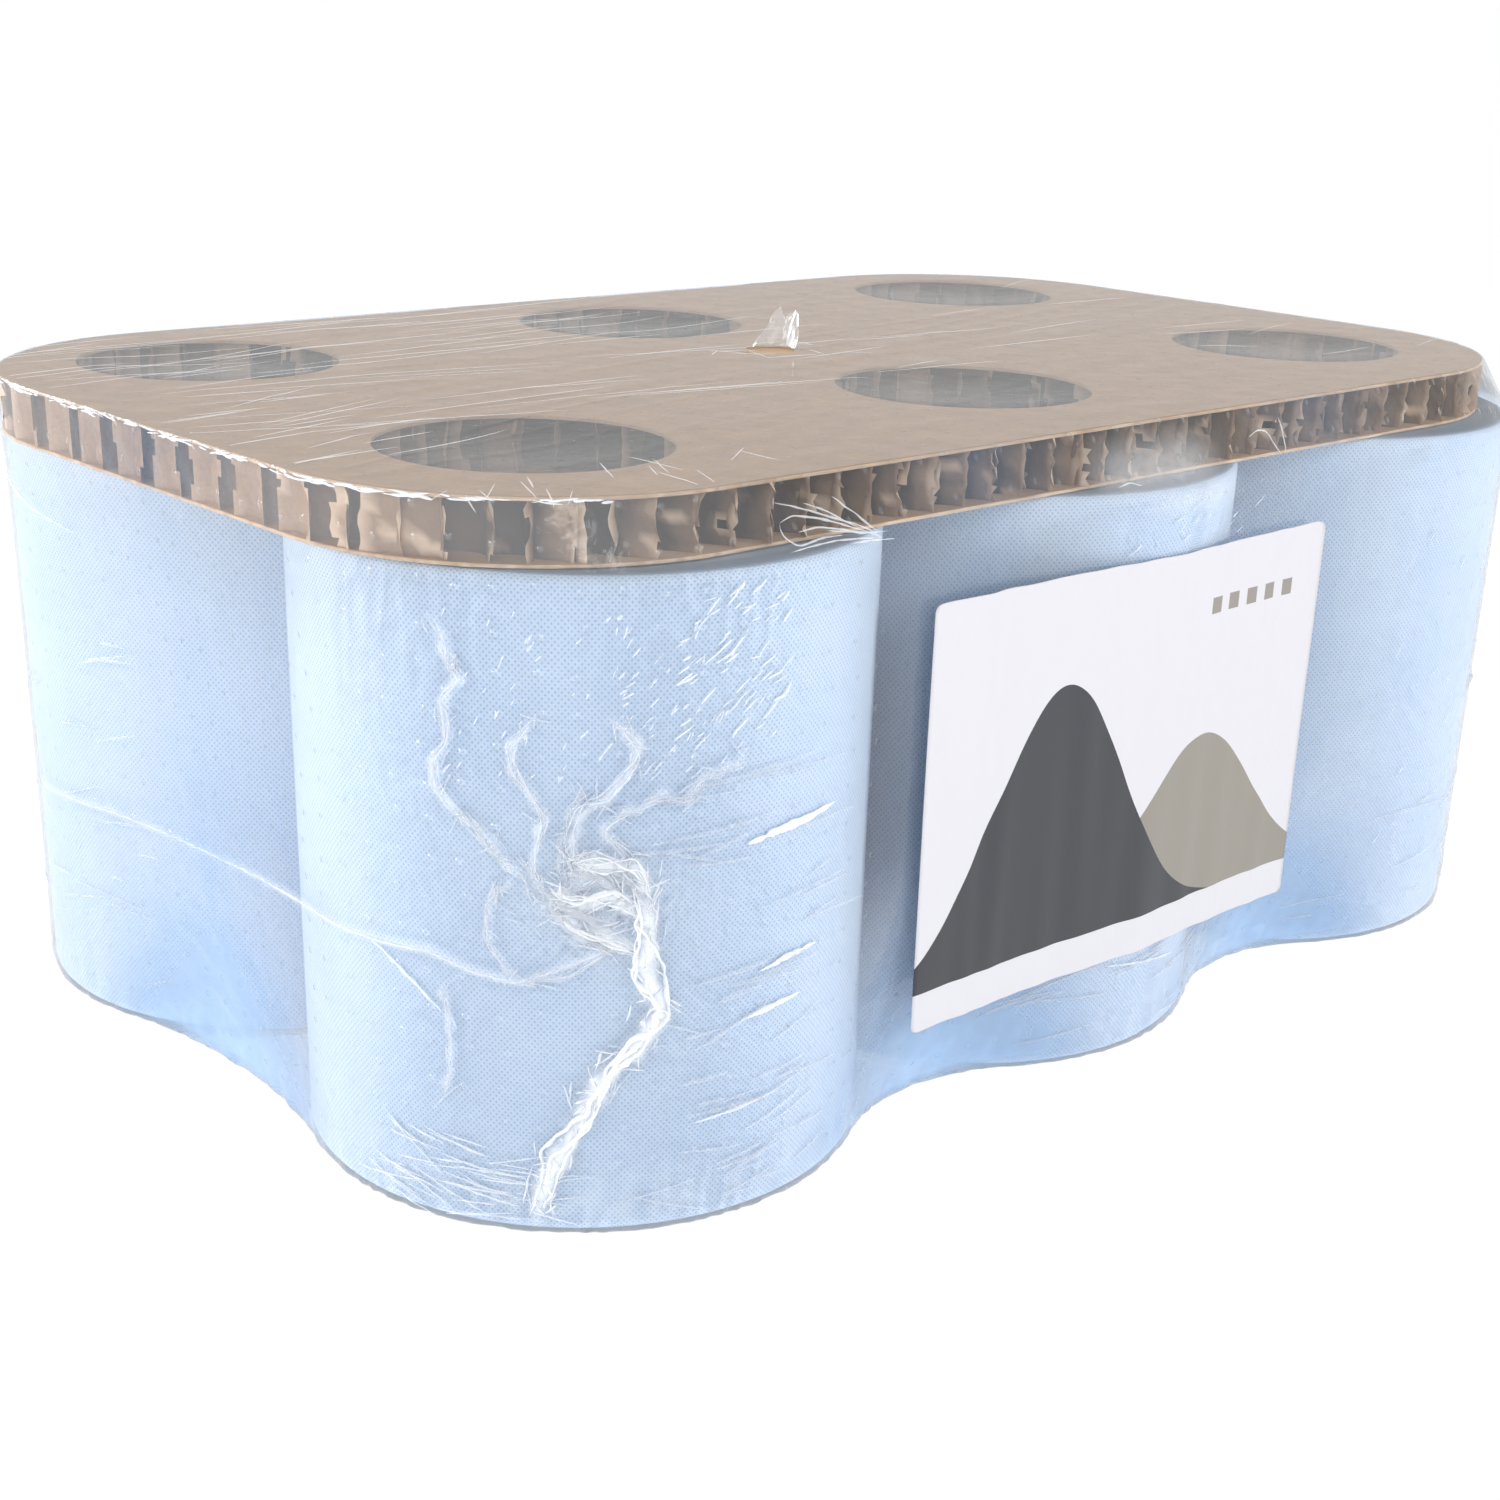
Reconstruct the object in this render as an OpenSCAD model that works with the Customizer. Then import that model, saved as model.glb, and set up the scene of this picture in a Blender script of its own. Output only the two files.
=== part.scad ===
// Pack of wound hand towel rolls. The rolls stand on end, three along X by two along Y, and press each
// other slightly flat. A card pad with a honeycomb core and a hole over each roll lies on top, and one
// clear shrink film holds everything. A paper label is stuck on the film over the front rolls.
// The origin is on the ground under the middle of the rolls, +Z is up, lengths are in millimetres.

/* [Towel rolls] */
// Diameter of one wound roll
roll_d = 189.5; // [150:0.5:215]
// Width of the towel web, which is the height of a standing roll
roll_h = 210; // [160:1:280]
// How much closer than one diameter the rolls of a row stand
squash_x = 4.5; // [1:0.5:9]
// How much closer than one diameter the two rows stand
squash_y = 2.5; // [1:0.5:9]
// Free gap left where two rolls press each other flat
press_gap = 0.3; // [0.2:0.1:0.8]
// Rounding of the rims of a roll
rim_r = 3; // [1:0.5:6]
// Step at the loose end of the outer turn
tail_step = 0.4; // [0.2:0.1:1]
// Number of raised bands of turns that show on an end face
turn_bands = 9; // [3:1:14]
// Height of those bands
turn_relief = 0.5; // [0.2:0.1:1.5]

/* [Roll cores] */
// Outer diameter of the card tube that a roll is wound on
core_d = 42; // [30:1:60]
// Wall of the card tube
core_wall = 2; // [1:0.5:4]
// Clearance all round between the tube and the first turn
core_gap = 0.2; // [0.1:0.1:0.5]
// How far the tube stays short of each end face
core_short = 1; // [0.5:0.5:4]

/* [Card pad] */
// Thickness of the whole pad
pad_t = 20; // [10:1:40]
// Thickness of each of its two liners
liner_t = 1; // [0.5:0.1:2]
// How much longer the pad is than the three rolls
pad_extra_x = 2.5; // [-6:0.5:6]
// How much narrower the pad is than the two rows
pad_short_y = 32.5; // [6:0.5:40]
// Radius of the corners of the pad
pad_corner_r = 90; // [30:1:100]
// How far the pad lies off the middle along X
pad_shift_x = -6.5; // [-7:0.5:7]
// How far the pad lies off the middle along Y
pad_shift_y = -1.5; // [-6:0.5:6]
// Diameter of the holes over the rolls
hole_d = 94; // [60:1:120]
// How much further apart the holes are than the rolls along X
hole_spread_x = 14.5; // [0:0.5:16]
// How much further apart the holes are than the rolls along Y
hole_spread_y = 3.5; // [0:0.5:10]
// How far the holes lie off the middle of the pad along Y
hole_shift_y = 7; // [-8:0.5:8]
// Width of a honeycomb cell across its flats
cell_w = 19; // [15:0.5:30]
// Thickness of the paper strips that the honeycomb is opened from
cell_wall = 0.4; // [0.3:0.1:0.8]
// Gap for the glue between two strips
glue_gap = 0.1; // [0.1:0.05:0.3]
// Gap between the ends of the rolls and the pad
pad_gap = 0.3; // [0.1:0.1:0.8]

/* [Shrink film] */
// Thickness of the film
film_t = 0.4; // [0.3:0.1:0.8]
// Gap between the film and what it wraps
film_gap = 0.5; // [0.4:0.1:1]
// How far the film sinks between two rolls at mid height
waist_mid = 6; // [4:0.5:14]
// How far the film sinks between two rolls at the ground
waist_low = 27; // [12:1:34]
// Height over which that deeper sag fades out
waist_rise = 100; // [60:5:140]
// Height of the weld seam at the middle of a short end
seam_z = 85.5; // [70:0.5:120]
// Fall of the seam from the front of the pack to its back
seam_fall = 11; // [0:1:24]
// Height of the bead of the seam
seam_bead = 1.2; // [0.4:0.1:2]
// Height of the gathered fold below the seam on the front left roll
gather_h = 2; // [0.5:0.5:4]
// Diameter of the vent hole in the top of the film
vent_d = 19; // [10:1:30]
// Height of the torn flap beside the vent hole
flap_h = 15; // [4:1:22]

/* [Label] */
// Width of the label along the pack
label_w = 210; // [120:1:240]
// Height of the label
label_h = 148; // [80:1:150]
// Height of its lower edge above the ground
label_z = 39; // [30:1:50]
// Where the middle of the label is along X
label_x = -15; // [-30:1:10]
// Thickness of the label
label_t = 0.3; // [0.2:0.1:0.6]
// Radius of the corners of the label
label_corner_r = 3; // [1:0.5:8]

/* [Hidden] */
$fn = 96;
columns = 3;
rows = 2;
roll_names = ["front_left", "front_middle", "front_right", "back_left", "back_middle", "back_right"];
// Direction in which the loose end of each roll lies
tail_angles = [100, -86, 80, -70, -110, 200];

roll_r = roll_d / 2;
pitch_x = roll_d - squash_x;
pitch_y = roll_d - squash_y;
// Places of the six rolls, front row first, from left to right
roll_places = [for (j = [0 : rows - 1], i = [0 : columns - 1])
    [(i - (columns - 1) / 2) * pitch_x, (j - (rows - 1) / 2) * pitch_y]];
bore_r = core_d / 2 + core_gap;

// Heights, from the ground up
slack_z = 0.3;
roll_z = film_t + slack_z;
roll_top = roll_z + roll_h;
pad_z = roll_top + pad_gap;
pad_top = pad_z + pad_t;

pad_l = (columns - 1) * pitch_x + roll_d + pad_extra_x;
pad_w = (rows - 1) * pitch_y + roll_d - pad_short_y;
// Half sizes between the centres of the corner arcs of the pad
pad_flat = [pad_l / 2 - pad_corner_r, pad_w / 2 - pad_corner_r];
pad_middle = [pad_shift_x, pad_shift_y];

// A bevel of two cones stands for the rounded rim: its inner point, in parts of the rim radius
rim_knee = 1 - sqrt(0.5);

// Unit vector of an angle
function dir(a) = [cos(a), sin(a)];

// Point a share t of the way from a to b
function mix(a, b, t) = a + (b - a) * t;

// How far the rim has drawn in at a height over the lower end of a roll
function rim_inset(z) =
    let (low = rim_r * rim_knee, s = min(z, roll_h - z))
    s >= rim_r ? 0
    : s >= low ? low * (rim_r - s) / (rim_r - low)
    : rim_r - (rim_r - low) * max(s, 0) / low;

// Towel rolls

// Outline of the outer turn: four quarter circles, each a quarter step larger than the one before,
// whose centres move so that they join smoothly. Only the loose end leaves a step.
module wound_outline(tail) {
    grow = tail_step / 4;
    centres = [[0, 0], [0, -grow], [grow, -grow], [grow, 0]];
    rotate(tail)
        for (k = [0 : 3])
            translate(centres[k])
                intersection() {
                    circle(r = roll_r - tail_step + k * grow);
                    rotate(90 * k) square(roll_r + 1);
                }
}

// Space that the neighbours leave to a roll: flat towards each of them, and free elsewhere
module pressed_space(column, row) {
    free = roll_r + 1;
    flat_x = (pitch_x - press_gap) / 2;
    flat_y = (pitch_y - press_gap) / 2;
    left = column > 0 ? flat_x : free;
    right = column < columns - 1 ? flat_x : free;
    front = row > 0 ? flat_y : free;
    back = row < rows - 1 ? flat_y : free;
    translate([-left, -front]) square([left + right, front + back]);
}

// Half section of a roll: bevelled rims, and bands of turns that stand a little higher than others
module roll_section() {
    knee = rim_r * rim_knee;
    over = 1;
    band = (roll_r - rim_r - bore_r) / (2 * turn_bands);
    steps = [for (k = [0 : turn_bands - 1])
        let (r = bore_r + 2 * k * band) each [
            [r, turn_relief], [r + band, turn_relief],
            [r + band * 1.2, 0], [r + band * 1.8, 0]]];
    low = concat(steps, [
        [roll_r - rim_r, 0],
        [roll_r - knee, knee],
        [roll_r + over, knee + (over + knee) * (rim_r - knee) / knee]]);
    last = len(low) - 1;
    polygon(concat(
        [[bore_r, turn_relief]],
        [for (k = [1 : last]) low[k]],
        [for (k = [last : -1 : 0]) [low[k][0], roll_h - low[k][1]]]));
}

module towel_roll(n) {
    color("#bcd9f2")
        translate([roll_places[n][0], roll_places[n][1], roll_z])
            intersection() {
                linear_extrude(roll_h)
                    difference() {
                        intersection() {
                            wound_outline(tail_angles[n]);
                            pressed_space(n % columns, floor(n / columns));
                        }
                        circle(r = bore_r);
                    }
                rotate_extrude() roll_section();
            }
}

module roll_core(n) {
    color("#a98a6a")
        translate([roll_places[n][0], roll_places[n][1], roll_z + core_short])
            linear_extrude(roll_h - 2 * core_short)
                difference() {
                    circle(d = core_d);
                    circle(d = core_d - 2 * core_wall);
                }
}

// Card pad

// Rounded outline of the pad, which is the same for its liners and its core
module pad_outline() {
    translate(pad_middle) {
        square([pad_l, pad_w - 2 * pad_corner_r], center = true);
        square([pad_l - 2 * pad_corner_r, pad_w], center = true);
        for (sx = [-1, 1], sy = [-1, 1])
            translate([sx * pad_flat[0], sy * pad_flat[1]]) circle(r = pad_corner_r);
    }
}

// The holes that were punched through all three layers, seen from the middle of the pad
hole_places = [for (p = roll_places) [
    p[0] * (pitch_x + hole_spread_x) / pitch_x,
    p[1] * (pitch_y + hole_spread_y) / pitch_y + hole_shift_y]];
module pad_holes() {
    for (p = hole_places) translate(pad_middle + p) circle(d = hole_d);
}

module pad_liner() {
    linear_extrude(liner_t)
        difference() {
            pad_outline();
            pad_holes();
        }
}

// One strip of the paper that the honeycomb is opened from. It runs along Y as a wave with straight
// runs, whose bends are mitred so that the paper keeps its thickness
module honeycomb_strip() {
    side = cell_w / sqrt(3);
    a = (cell_w / 2 - cell_wall - glue_gap) / 2;
    half = cell_wall / 2;
    mitre = half * tan(30);
    waves = ceil(pad_w / side / 6) + 1;
    bends = [for (k = [-waves : waves - 1]) each [
        [-a, (3 * k + 1) * side, 1], [a, (3 * k + 1.5) * side, 1],
        [a, (3 * k + 2.5) * side, -1], [-a, (3 * k + 3) * side, -1]]];
    polygon(concat(
        [for (b = bends) [b[0] - half, b[1] + mitre * b[2]]],
        [for (i = [len(bends) - 1 : -1 : 0]) let (b = bends[i]) [b[0] + half, b[1] - mitre * b[2]]]));
}

// Opened paper honeycomb. Neighbouring strips mirror each other, so that their straight runs lie glued
// in pairs and their slanted runs enclose the cells. Outline and holes cut the cells open
module honeycomb(height) {
    strips = ceil(pad_l / cell_w);
    for (i = [-strips : strips])
        linear_extrude(height)
            difference() {
                intersection() {
                    translate(pad_middle + [i * cell_w / 2, 0]) mirror([abs(i % 2), 0]) honeycomb_strip();
                    pad_outline();
                }
                pad_holes();
            }
}

module pad_top_liner() {
    color("#c2a180") translate([0, 0, pad_top - liner_t]) pad_liner();
}

module pad_honeycomb() {
    color("#a5835f") translate([0, 0, pad_z + liner_t]) honeycomb(pad_t - 2 * liner_t);
}

module pad_bottom_liner() {
    color("#c2a180") translate([0, 0, pad_z]) pad_liner();
}

// Shrink film

// Between two rolls the film is a hollow arc that touches both. Distance of its centre from theirs, for
// rolls whose half pitch is h and an arc that sinks by d
function arc_reach(h, d) = (h * h + d * d) / (2 * d);

// How far out the film is from the line of roll centres, at u from the middle of a gap
function film_out(u, h, r, d) =
    let (a = arc_reach(h, d), hollow = a - r, touch = h * hollow / a)
    abs(u) < touch
        ? a - d - sqrt(hollow * hollow - u * u)
        : sqrt(max(0, r * r - pow(h - abs(u), 2)));

// Depth of the waists at a height
function waist(z) = waist_mid + (waist_low - waist_mid) * pow(max(0, 1 - z / waist_rise), 1.6);

// The four walls of the film, each from one corner roll to the next: start, number of gaps, direction
corner = [(columns - 1) / 2 * pitch_x, (rows - 1) / 2 * pitch_y];
walls = [
    [[-1, -1], [1, -1], columns - 1, -90],
    [[1, -1], [1, 1], rows - 1, 0],
    [[1, 1], [-1, 1], columns - 1, 90],
    [[-1, 1], [-1, -1], rows - 1, 180]
];
gap_steps = 12;
corner_steps = 10;

// Multiplies two vectors term by term, such as the signs of a corner and a half size
function at(a, b) = [a[0] * b[0], a[1] * b[1]];

// Stations round the pack. Each is a level ray that starts on the line of roll centres: its start, its
// place in its gap, the half pitch there, and its outward angle
stations = [for (w = walls)
    let (a = at(w[0], corner), b = at(w[1], corner), h = norm(b - a) / w[2] / 2)
    each concat(
        [for (g = [0 : w[2] - 1], i = [0 : gap_steps - 1])
            [mix(a, b, (g + i / gap_steps) / w[2]), (2 * i / gap_steps - 1) * h, h, w[3]]],
        [for (j = [0 : corner_steps - 1]) [b, h, h, w[3] + 90 * j / corner_steps]])];
count = len(stations);

// Gap between the film's rings and the edge of the pad, so that their chords clear its corner arcs
edge_gap = slack_z + pow(PI / 2 * roll_r * 1.1 / corner_steps, 2) / (8 * pad_corner_r);

// How far along its ray a station meets the pad's outline, set out by a gap: on the corner arc, or else
// on the nearer of the two straight sides
function to_pad(s, gap) =
    let (d = dir(s[3]), side = [d[0] < 0 ? -1 : 1, d[1] < 0 ? -1 : 1],
         v = at(side, s[0] - pad_middle), e = at(side, d), w = v - pad_flat, r = pad_corner_r + gap,
         t = -w * e + sqrt(pow(w * e, 2) - w * w + r * r),
         p = v + t * e)
    p[0] >= pad_flat[0] && p[1] >= pad_flat[1] ? t
    : min([for (k = [0, 1]) e[k] < 0.001 ? pad_l : (pad_flat[k] + r - v[k]) / e[k]]);

// Share of the pad in the film's place. Where the pad stands back, the film runs straight from its upper
// edge to the shoulder of the roll. Where it stands out, the film drops from its lower edge in a curve
shoulder_z = roll_top - rim_r * rim_knee;
hang_z = roll_z + roll_h * 0.5;
function pad_share(z, stands_out) =
    stands_out
        ? (z >= pad_z ? 1 : pow(max(0, (z - hang_z) / (pad_z - hang_z)), 2))
        : max(0, (z - shoulder_z) / (pad_top - shoulder_z));

// Height of the seam at a station
function seam_at(s) = seam_z - seam_fall * s[0][1] / (2 * corner[1]);

// Outward swelling of the film: the bead of the seam, strongest on the short ends, and the gathered fold
// that runs from it down to the ground on the front left roll
gather_angle = 234;
function swelling(s, z, on_seam) =
    (on_seam ? seam_bead * pow(cos(s[3]), 2) : 0)
    + (abs(s[3] - gather_angle) < 1 && z < seam_z + 1 ? gather_h * (0.4 + 0.6 * z / seam_z) : 0);

// One ring of the film. The skin is 0 on the inside and film_t on the outside
function ring(z, skin, tuck, on_seam) = [for (s = stations)
    let (level = z + (on_seam == undef ? 0 : seam_at(s)),
         r = roll_r + film_gap + skin - rim_inset(level - roll_z),
         on_rolls = film_out(s[1], s[2], r, waist(level)),
         on_pad = to_pad(s, edge_gap + skin - tuck),
         out = mix(on_rolls, on_pad, pad_share(level, on_pad > on_rolls)) + swelling(s, level, on_seam == true),
         xy = s[0] + dir(s[3]) * out)
    [xy[0], xy[1], level]];

// Rings of one skin from the ground to the edge of the top
knee_z = roll_z + rim_r * rim_knee;
top_tuck = 0.5;
function skin_rings(skin) = [
    ring(film_t - skin, skin, 0),
    ring(knee_z, skin, 0),
    ring(roll_z + rim_r, skin, 0),
    ring(14, skin, 0),
    ring(30, skin, 0),
    ring(50, skin, 0),
    ring(68, skin, 0),
    ring(-3, skin, 0, false),
    ring(0, skin, 0, true),
    ring(3, skin, 0, false),
    ring(hang_z + roll_h * 0.08, skin, 0),
    ring(hang_z + roll_h * 0.25, skin, 0),
    ring(hang_z + roll_h * 0.38, skin, 0),
    ring(roll_top - rim_r, skin, 0),
    ring(shoulder_z, skin, 0),
    ring(pad_z, skin, 0),
    ring((pad_z + pad_top) / 2, skin, 0),
    ring(pad_top + slack_z + skin - top_tuck, skin, 0),
    ring(pad_top + slack_z + skin, skin, top_tuck)
];

// Rings of the torn rim of the vent hole. It curls up a little all round, and stands up as a flap on
// one side, leaning outwards
vent_place = [-12, 8];
flap_angle = 20;
rim_curl = 0.7;
function vent_rings(skin) = [for (k = [0 : 3])
    [for (s = stations)
        let (to = s[0] + dir(s[3]) * to_pad(s, 0) - vent_place,
             a = atan2(to[1], to[0]),
             rise = pow(max(0, cos(a - flap_angle)), 6),
             fold = 1 + 0.25 * cos(9 * a) * rise,
             r = vent_d / 2 - film_t + skin + k / 3 * rise * flap_h * 0.35,
             xy = vent_place + r * dir(a))
        [xy[0], xy[1], pad_top + slack_z + skin * (3 - k) / 3 + k / 3 * (rim_curl + flap_h * rise * fold)]]];

// Faces between two neighbouring rings whose first points have the numbers a and b
function band_faces(a, b) = [for (i = [0 : count - 1])
    let (n = (i + 1) % count)
    each [[a + i, b + i, b + n], [a + i, b + n, a + n]]];

// Faces from a ring to one point
function cap_faces(a, tip) = [for (i = [0 : count - 1]) [a + i, a + (i + 1) % count, tip]];

function flipped(faces) = [for (f = faces) [f[2], f[1], f[0]]];

module shrink_film() {
    outer = concat(skin_rings(film_t), vent_rings(film_t));
    inner = concat(skin_rings(0), vent_rings(0));
    rings = len(outer);
    half = rings * count;
    points = concat(
        [for (r = outer) each r],
        [for (r = inner) each r],
        [[0, 0, 0], [0, 0, film_t]]);
    outer_faces = concat(
        [for (k = [0 : rings - 2]) each band_faces(k * count, (k + 1) * count)],
        cap_faces(0, 2 * half));
    inner_faces = concat(
        [for (k = [0 : rings - 2]) each band_faces(half + k * count, half + (k + 1) * count)],
        cap_faces(half, 2 * half + 1));
    torn_edge = band_faces(half - count, 2 * half - count);
    color("#dfe9f2", 0.35)
        polyhedron(points, concat(outer_faces, flipped(inner_faces), torn_edge), convexity = 10);
}

// Label

label_gap = 0.3;
label_bridge = 2.5;
// Distance of the label from the line of the front roll centres, at a place along X
function label_out(x, skin) =
    let (g = x < 0 ? -pitch_x / 2 : pitch_x / 2)
    film_out(x - g, pitch_x / 2, roll_r + film_gap + film_t + label_gap + skin, waist_mid - label_bridge);

module label_sheet() {
    steps = 36;
    xs = [for (k = [0 : steps]) label_x + label_w * (k / steps - 0.5)];
    front = [for (x = xs) [x, -corner[1] - label_out(x, label_t)]];
    back = [for (k = [steps : -1 : 0]) [xs[k], -corner[1] - label_out(xs[k], 0)]];
    flat = [label_w / 2 - label_corner_r, label_h / 2 - label_corner_r];
    deep = roll_r + 20;
    color("white")
        intersection() {
            translate([0, 0, label_z]) linear_extrude(label_h) polygon(concat(front, back));
            translate([label_x, -corner[1], label_z + label_h / 2])
                rotate([90, 0, 0])
                    linear_extrude(deep) {
                        square([label_w + 1, 2 * flat[1]], center = true);
                        square([2 * flat[0], label_h + 1], center = true);
                        for (sx = [-1, 1], sy = [-1, 1])
                            translate([sx * flat[0], sy * flat[1]]) circle(r = label_corner_r);
                    }
        }
}

for (n = [0 : len(roll_names) - 1]) {
    towel_roll(n);
    roll_core(n);
}
pad_top_liner();
pad_honeycomb();
pad_bottom_liner();
shrink_film();
label_sheet();
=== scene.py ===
"""Looks of a pack of hand towel rolls: six rolls on end under a card pad, in one clear shrink film."""
import math

import bmesh
import bpy
import numpy as np
from mathutils import Matrix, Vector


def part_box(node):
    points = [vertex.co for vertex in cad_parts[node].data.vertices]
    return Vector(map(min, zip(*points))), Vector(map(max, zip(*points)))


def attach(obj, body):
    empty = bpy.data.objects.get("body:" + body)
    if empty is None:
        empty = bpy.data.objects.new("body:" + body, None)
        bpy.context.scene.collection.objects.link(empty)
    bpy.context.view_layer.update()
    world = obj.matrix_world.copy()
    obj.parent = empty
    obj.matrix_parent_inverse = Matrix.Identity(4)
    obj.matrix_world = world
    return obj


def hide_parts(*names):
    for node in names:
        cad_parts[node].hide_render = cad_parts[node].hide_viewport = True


bl_info = {
    "name": "Pack of hand towel rolls",
    "version": (1, 0, 0),
    "blender": (4, 5, 0),
    "location": "3D Viewport > Sidebar > Towel pack",
    "description": "Builds the rolls, card pad, shrink film and label of a pack of hand towel rolls",
    "category": "Add Mesh",
}

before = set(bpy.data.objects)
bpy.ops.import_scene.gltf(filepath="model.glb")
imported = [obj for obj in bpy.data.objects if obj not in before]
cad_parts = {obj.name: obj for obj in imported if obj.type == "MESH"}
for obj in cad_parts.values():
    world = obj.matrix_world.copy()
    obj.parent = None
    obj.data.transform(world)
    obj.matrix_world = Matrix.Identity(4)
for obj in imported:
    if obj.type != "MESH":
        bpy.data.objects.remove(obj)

# Lengths below are worked out in millimetres and written to the meshes in metres
MM = 0.001
WHITE = (1.0, 1.0, 1.0, 1.0)
ROLL_NAMES = ("front_left", "front_middle", "front_right", "back_left", "back_middle", "back_right")
# Direction in degrees in which the loose end of each roll lies
TAIL_ANGLES = (100, -86, 80, -70, -110, 200)


def corners_mm(node):
    """Lowest and highest corner of a node in millimetres"""
    low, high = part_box(node)
    return np.array(low[:]) / MM, np.array(high[:]) / MM


def middle_mm(node):
    """Middle of a node's box in millimetres"""
    low, high = corners_mm(node)
    return (low + high) / 2


ROLL_PLACES = np.array([middle_mm("roll_core_" + name)[:2] for name in ROLL_NAMES])
ROLL_FOOT = corners_mm("towel_roll_front_left")[0][2]
ROLL_TOP = corners_mm("towel_roll_front_left")[1][2]
PAD_LOW = corners_mm("pad_bottom_liner")[0]
PAD_HIGH = corners_mm("pad_top_liner")[1]
CELLS_LOW = corners_mm("pad_honeycomb")[0][2]
CELLS_TOP = corners_mm("pad_honeycomb")[1][2]
PITCH = ROLL_PLACES[4] - ROLL_PLACES[0]


def linear(code):
    """Linear light of an sRGB hex colour: c / 12.92 below 0.04045, else ((c + 0.055) / 1.055) to the 2.4"""
    value = np.array([int(code[k:k + 2], 16) for k in (1, 3, 5)]) / 255
    light = np.where(value <= 0.04045, value / 12.92, ((value + 0.055) / 1.055) ** 2.4)
    return tuple(float(c) for c in light) + (1.0,)


def distance_setting(name, description, millimetres):
    """A length that a user can change"""
    return bpy.props.FloatProperty(name=name, description=description, default=millimetres * MM,
                                   subtype="DISTANCE", unit="LENGTH", precision=4)


def colour_setting(name, description, code):
    """A colour that a user can change"""
    return bpy.props.FloatVectorProperty(name=name, description=description, default=linear(code),
                                         size=4, min=0, max=1, subtype="COLOR")


class PackSizes(bpy.types.PropertyGroup):
    """Sizes of the pack's surfaces"""
    roll_diameter: distance_setting("Roll diameter", "Diameter of one wound roll", 189.5)
    rim: distance_setting("Rim", "Rounding of the rims of a roll", 3)
    tail_step: distance_setting("Tail step", "Step at the loose end of the outer turn", 0.4)
    dimple_across: distance_setting("Dimple spacing", "Spacing of the dimples along the web", 1.9)
    dimple_up: distance_setting("Dimple rows", "Spacing of every second row of dimples", 2.1)
    pad_corner: distance_setting("Pad corner", "Radius of the corners of the pad", 90)
    hole: distance_setting("Pad hole", "Diameter of the holes of the pad", 94)
    cell: distance_setting("Cell", "Width of a honeycomb cell across its flats", 14)
    film_gap: distance_setting("Film gap", "Distance of the film's skin from what it wraps", 0.9)
    waist_mid: distance_setting("Waist", "How far the film sinks between two rolls", 6)
    waist_low: distance_setting("Low waist", "How far it sinks there at the ground", 27)
    waist_end: distance_setting("End waist", "How far it sinks at the ground on the short ends", 14)
    pin_spacing: distance_setting("Pinholes", "Spacing of the pinholes of the film", 12)
    label_width: distance_setting("Label width", "Width of the label", 210)
    label_height: distance_setting("Label height", "Height of the label", 148)


class PackColours(bpy.types.PropertyGroup):
    """Colours of the pack's materials"""
    towel: colour_setting("Towel", "Dyed tissue paper", "#d5e3f3")
    # The dimple colour is painted shade: the same paper, darker as if in the shade of a dimple's hollow
    dimple: colour_setting("Dimples", "The same paper inside a dimple", "#90b1da")
    core: colour_setting("Core", "Grey board of the roll cores", "#b0967a")
    liner: colour_setting("Liner", "Kraft liner of the pad", "#d9b795")
    cells: colour_setting("Cells", "Kraft paper of the honeycomb", "#c4a58a")
    torn: colour_setting("Torn edges", "Torn edges of the card", "#ead2b8")
    label_dark: colour_setting("Label, dark", "Dark hill of the label", "#3b3d42")
    label_warm: colour_setting("Label, warm", "Warm grey hill of the label", "#8b877f")


def add(tree, kind, sockets=None, **settings):
    """Adds a node with its settings, and links or sets its sockets"""
    item = tree.nodes.new(kind)
    for name, value in settings.items():
        setattr(item, name, value)
    for key, value in (sockets or {}).items():
        if isinstance(value, bpy.types.NodeSocket):
            tree.links.new(value, item.inputs[key])
        else:
            item.inputs[key].default_value = value
    return item


def maths(tree, operation, *terms, clamped=False):
    """Result of one operation on numbers or sockets"""
    sockets = dict(enumerate(terms))
    return add(tree, "ShaderNodeMath", sockets, operation=operation, use_clamp=clamped).outputs[0]


def ramp(tree, source, low, high, start, end):
    """Value that runs from start to end while its source runs from low to high"""
    return add(tree, "ShaderNodeMapRange", {0: source, 1: low, 2: high, 3: start, 4: end}).outputs[0]


def mixed(tree, share, first, second):
    """Colour between two colours"""
    return add(tree, "ShaderNodeMix", {"Factor": share, 6: first, 7: second}, data_type="RGBA").outputs[2]


def blend(tree, share, first, second):
    """Surface between two surfaces"""
    return add(tree, "ShaderNodeMixShader", {0: share, 1: first, 2: second}).outputs[0]


def noise(tree, vector, scale, detail, roughness=0.5, distortion=0.0):
    """Soft random value of about a half"""
    return add(tree, "ShaderNodeTexNoise", {"Vector": vector, "Scale": scale, "Detail": detail,
                                            "Roughness": roughness, "Distortion": distortion}).outputs[0]


def point_value(tree, name):
    """Value that the points of a mesh carry under a name"""
    return add(tree, "ShaderNodeAttribute", attribute_name=name).outputs["Fac"]


def bumped(tree, strength, distance, height):
    """Normal of a surface with a fine relief, which is distance deep in metres"""
    sockets = {"Strength": strength, "Distance": distance, "Height": height}
    return add(tree, "ShaderNodeBump", sockets).outputs[0]


def cover(tree, colour, roughness, shine, normal):
    """Ends a material with one opaque surface"""
    surface = add(tree, "ShaderNodeBsdfPrincipled", {"Base Color": colour, "Roughness": roughness,
                                                     "Specular IOR Level": shine, "Normal": normal})
    add(tree, "ShaderNodeOutputMaterial", {"Surface": surface.outputs[0]})


def blank_material(name):
    """A new material without nodes, and its node tree"""
    material = bpy.data.materials.new(name)
    material.use_nodes = True
    material.node_tree.nodes.clear()
    return material, material.node_tree


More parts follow.
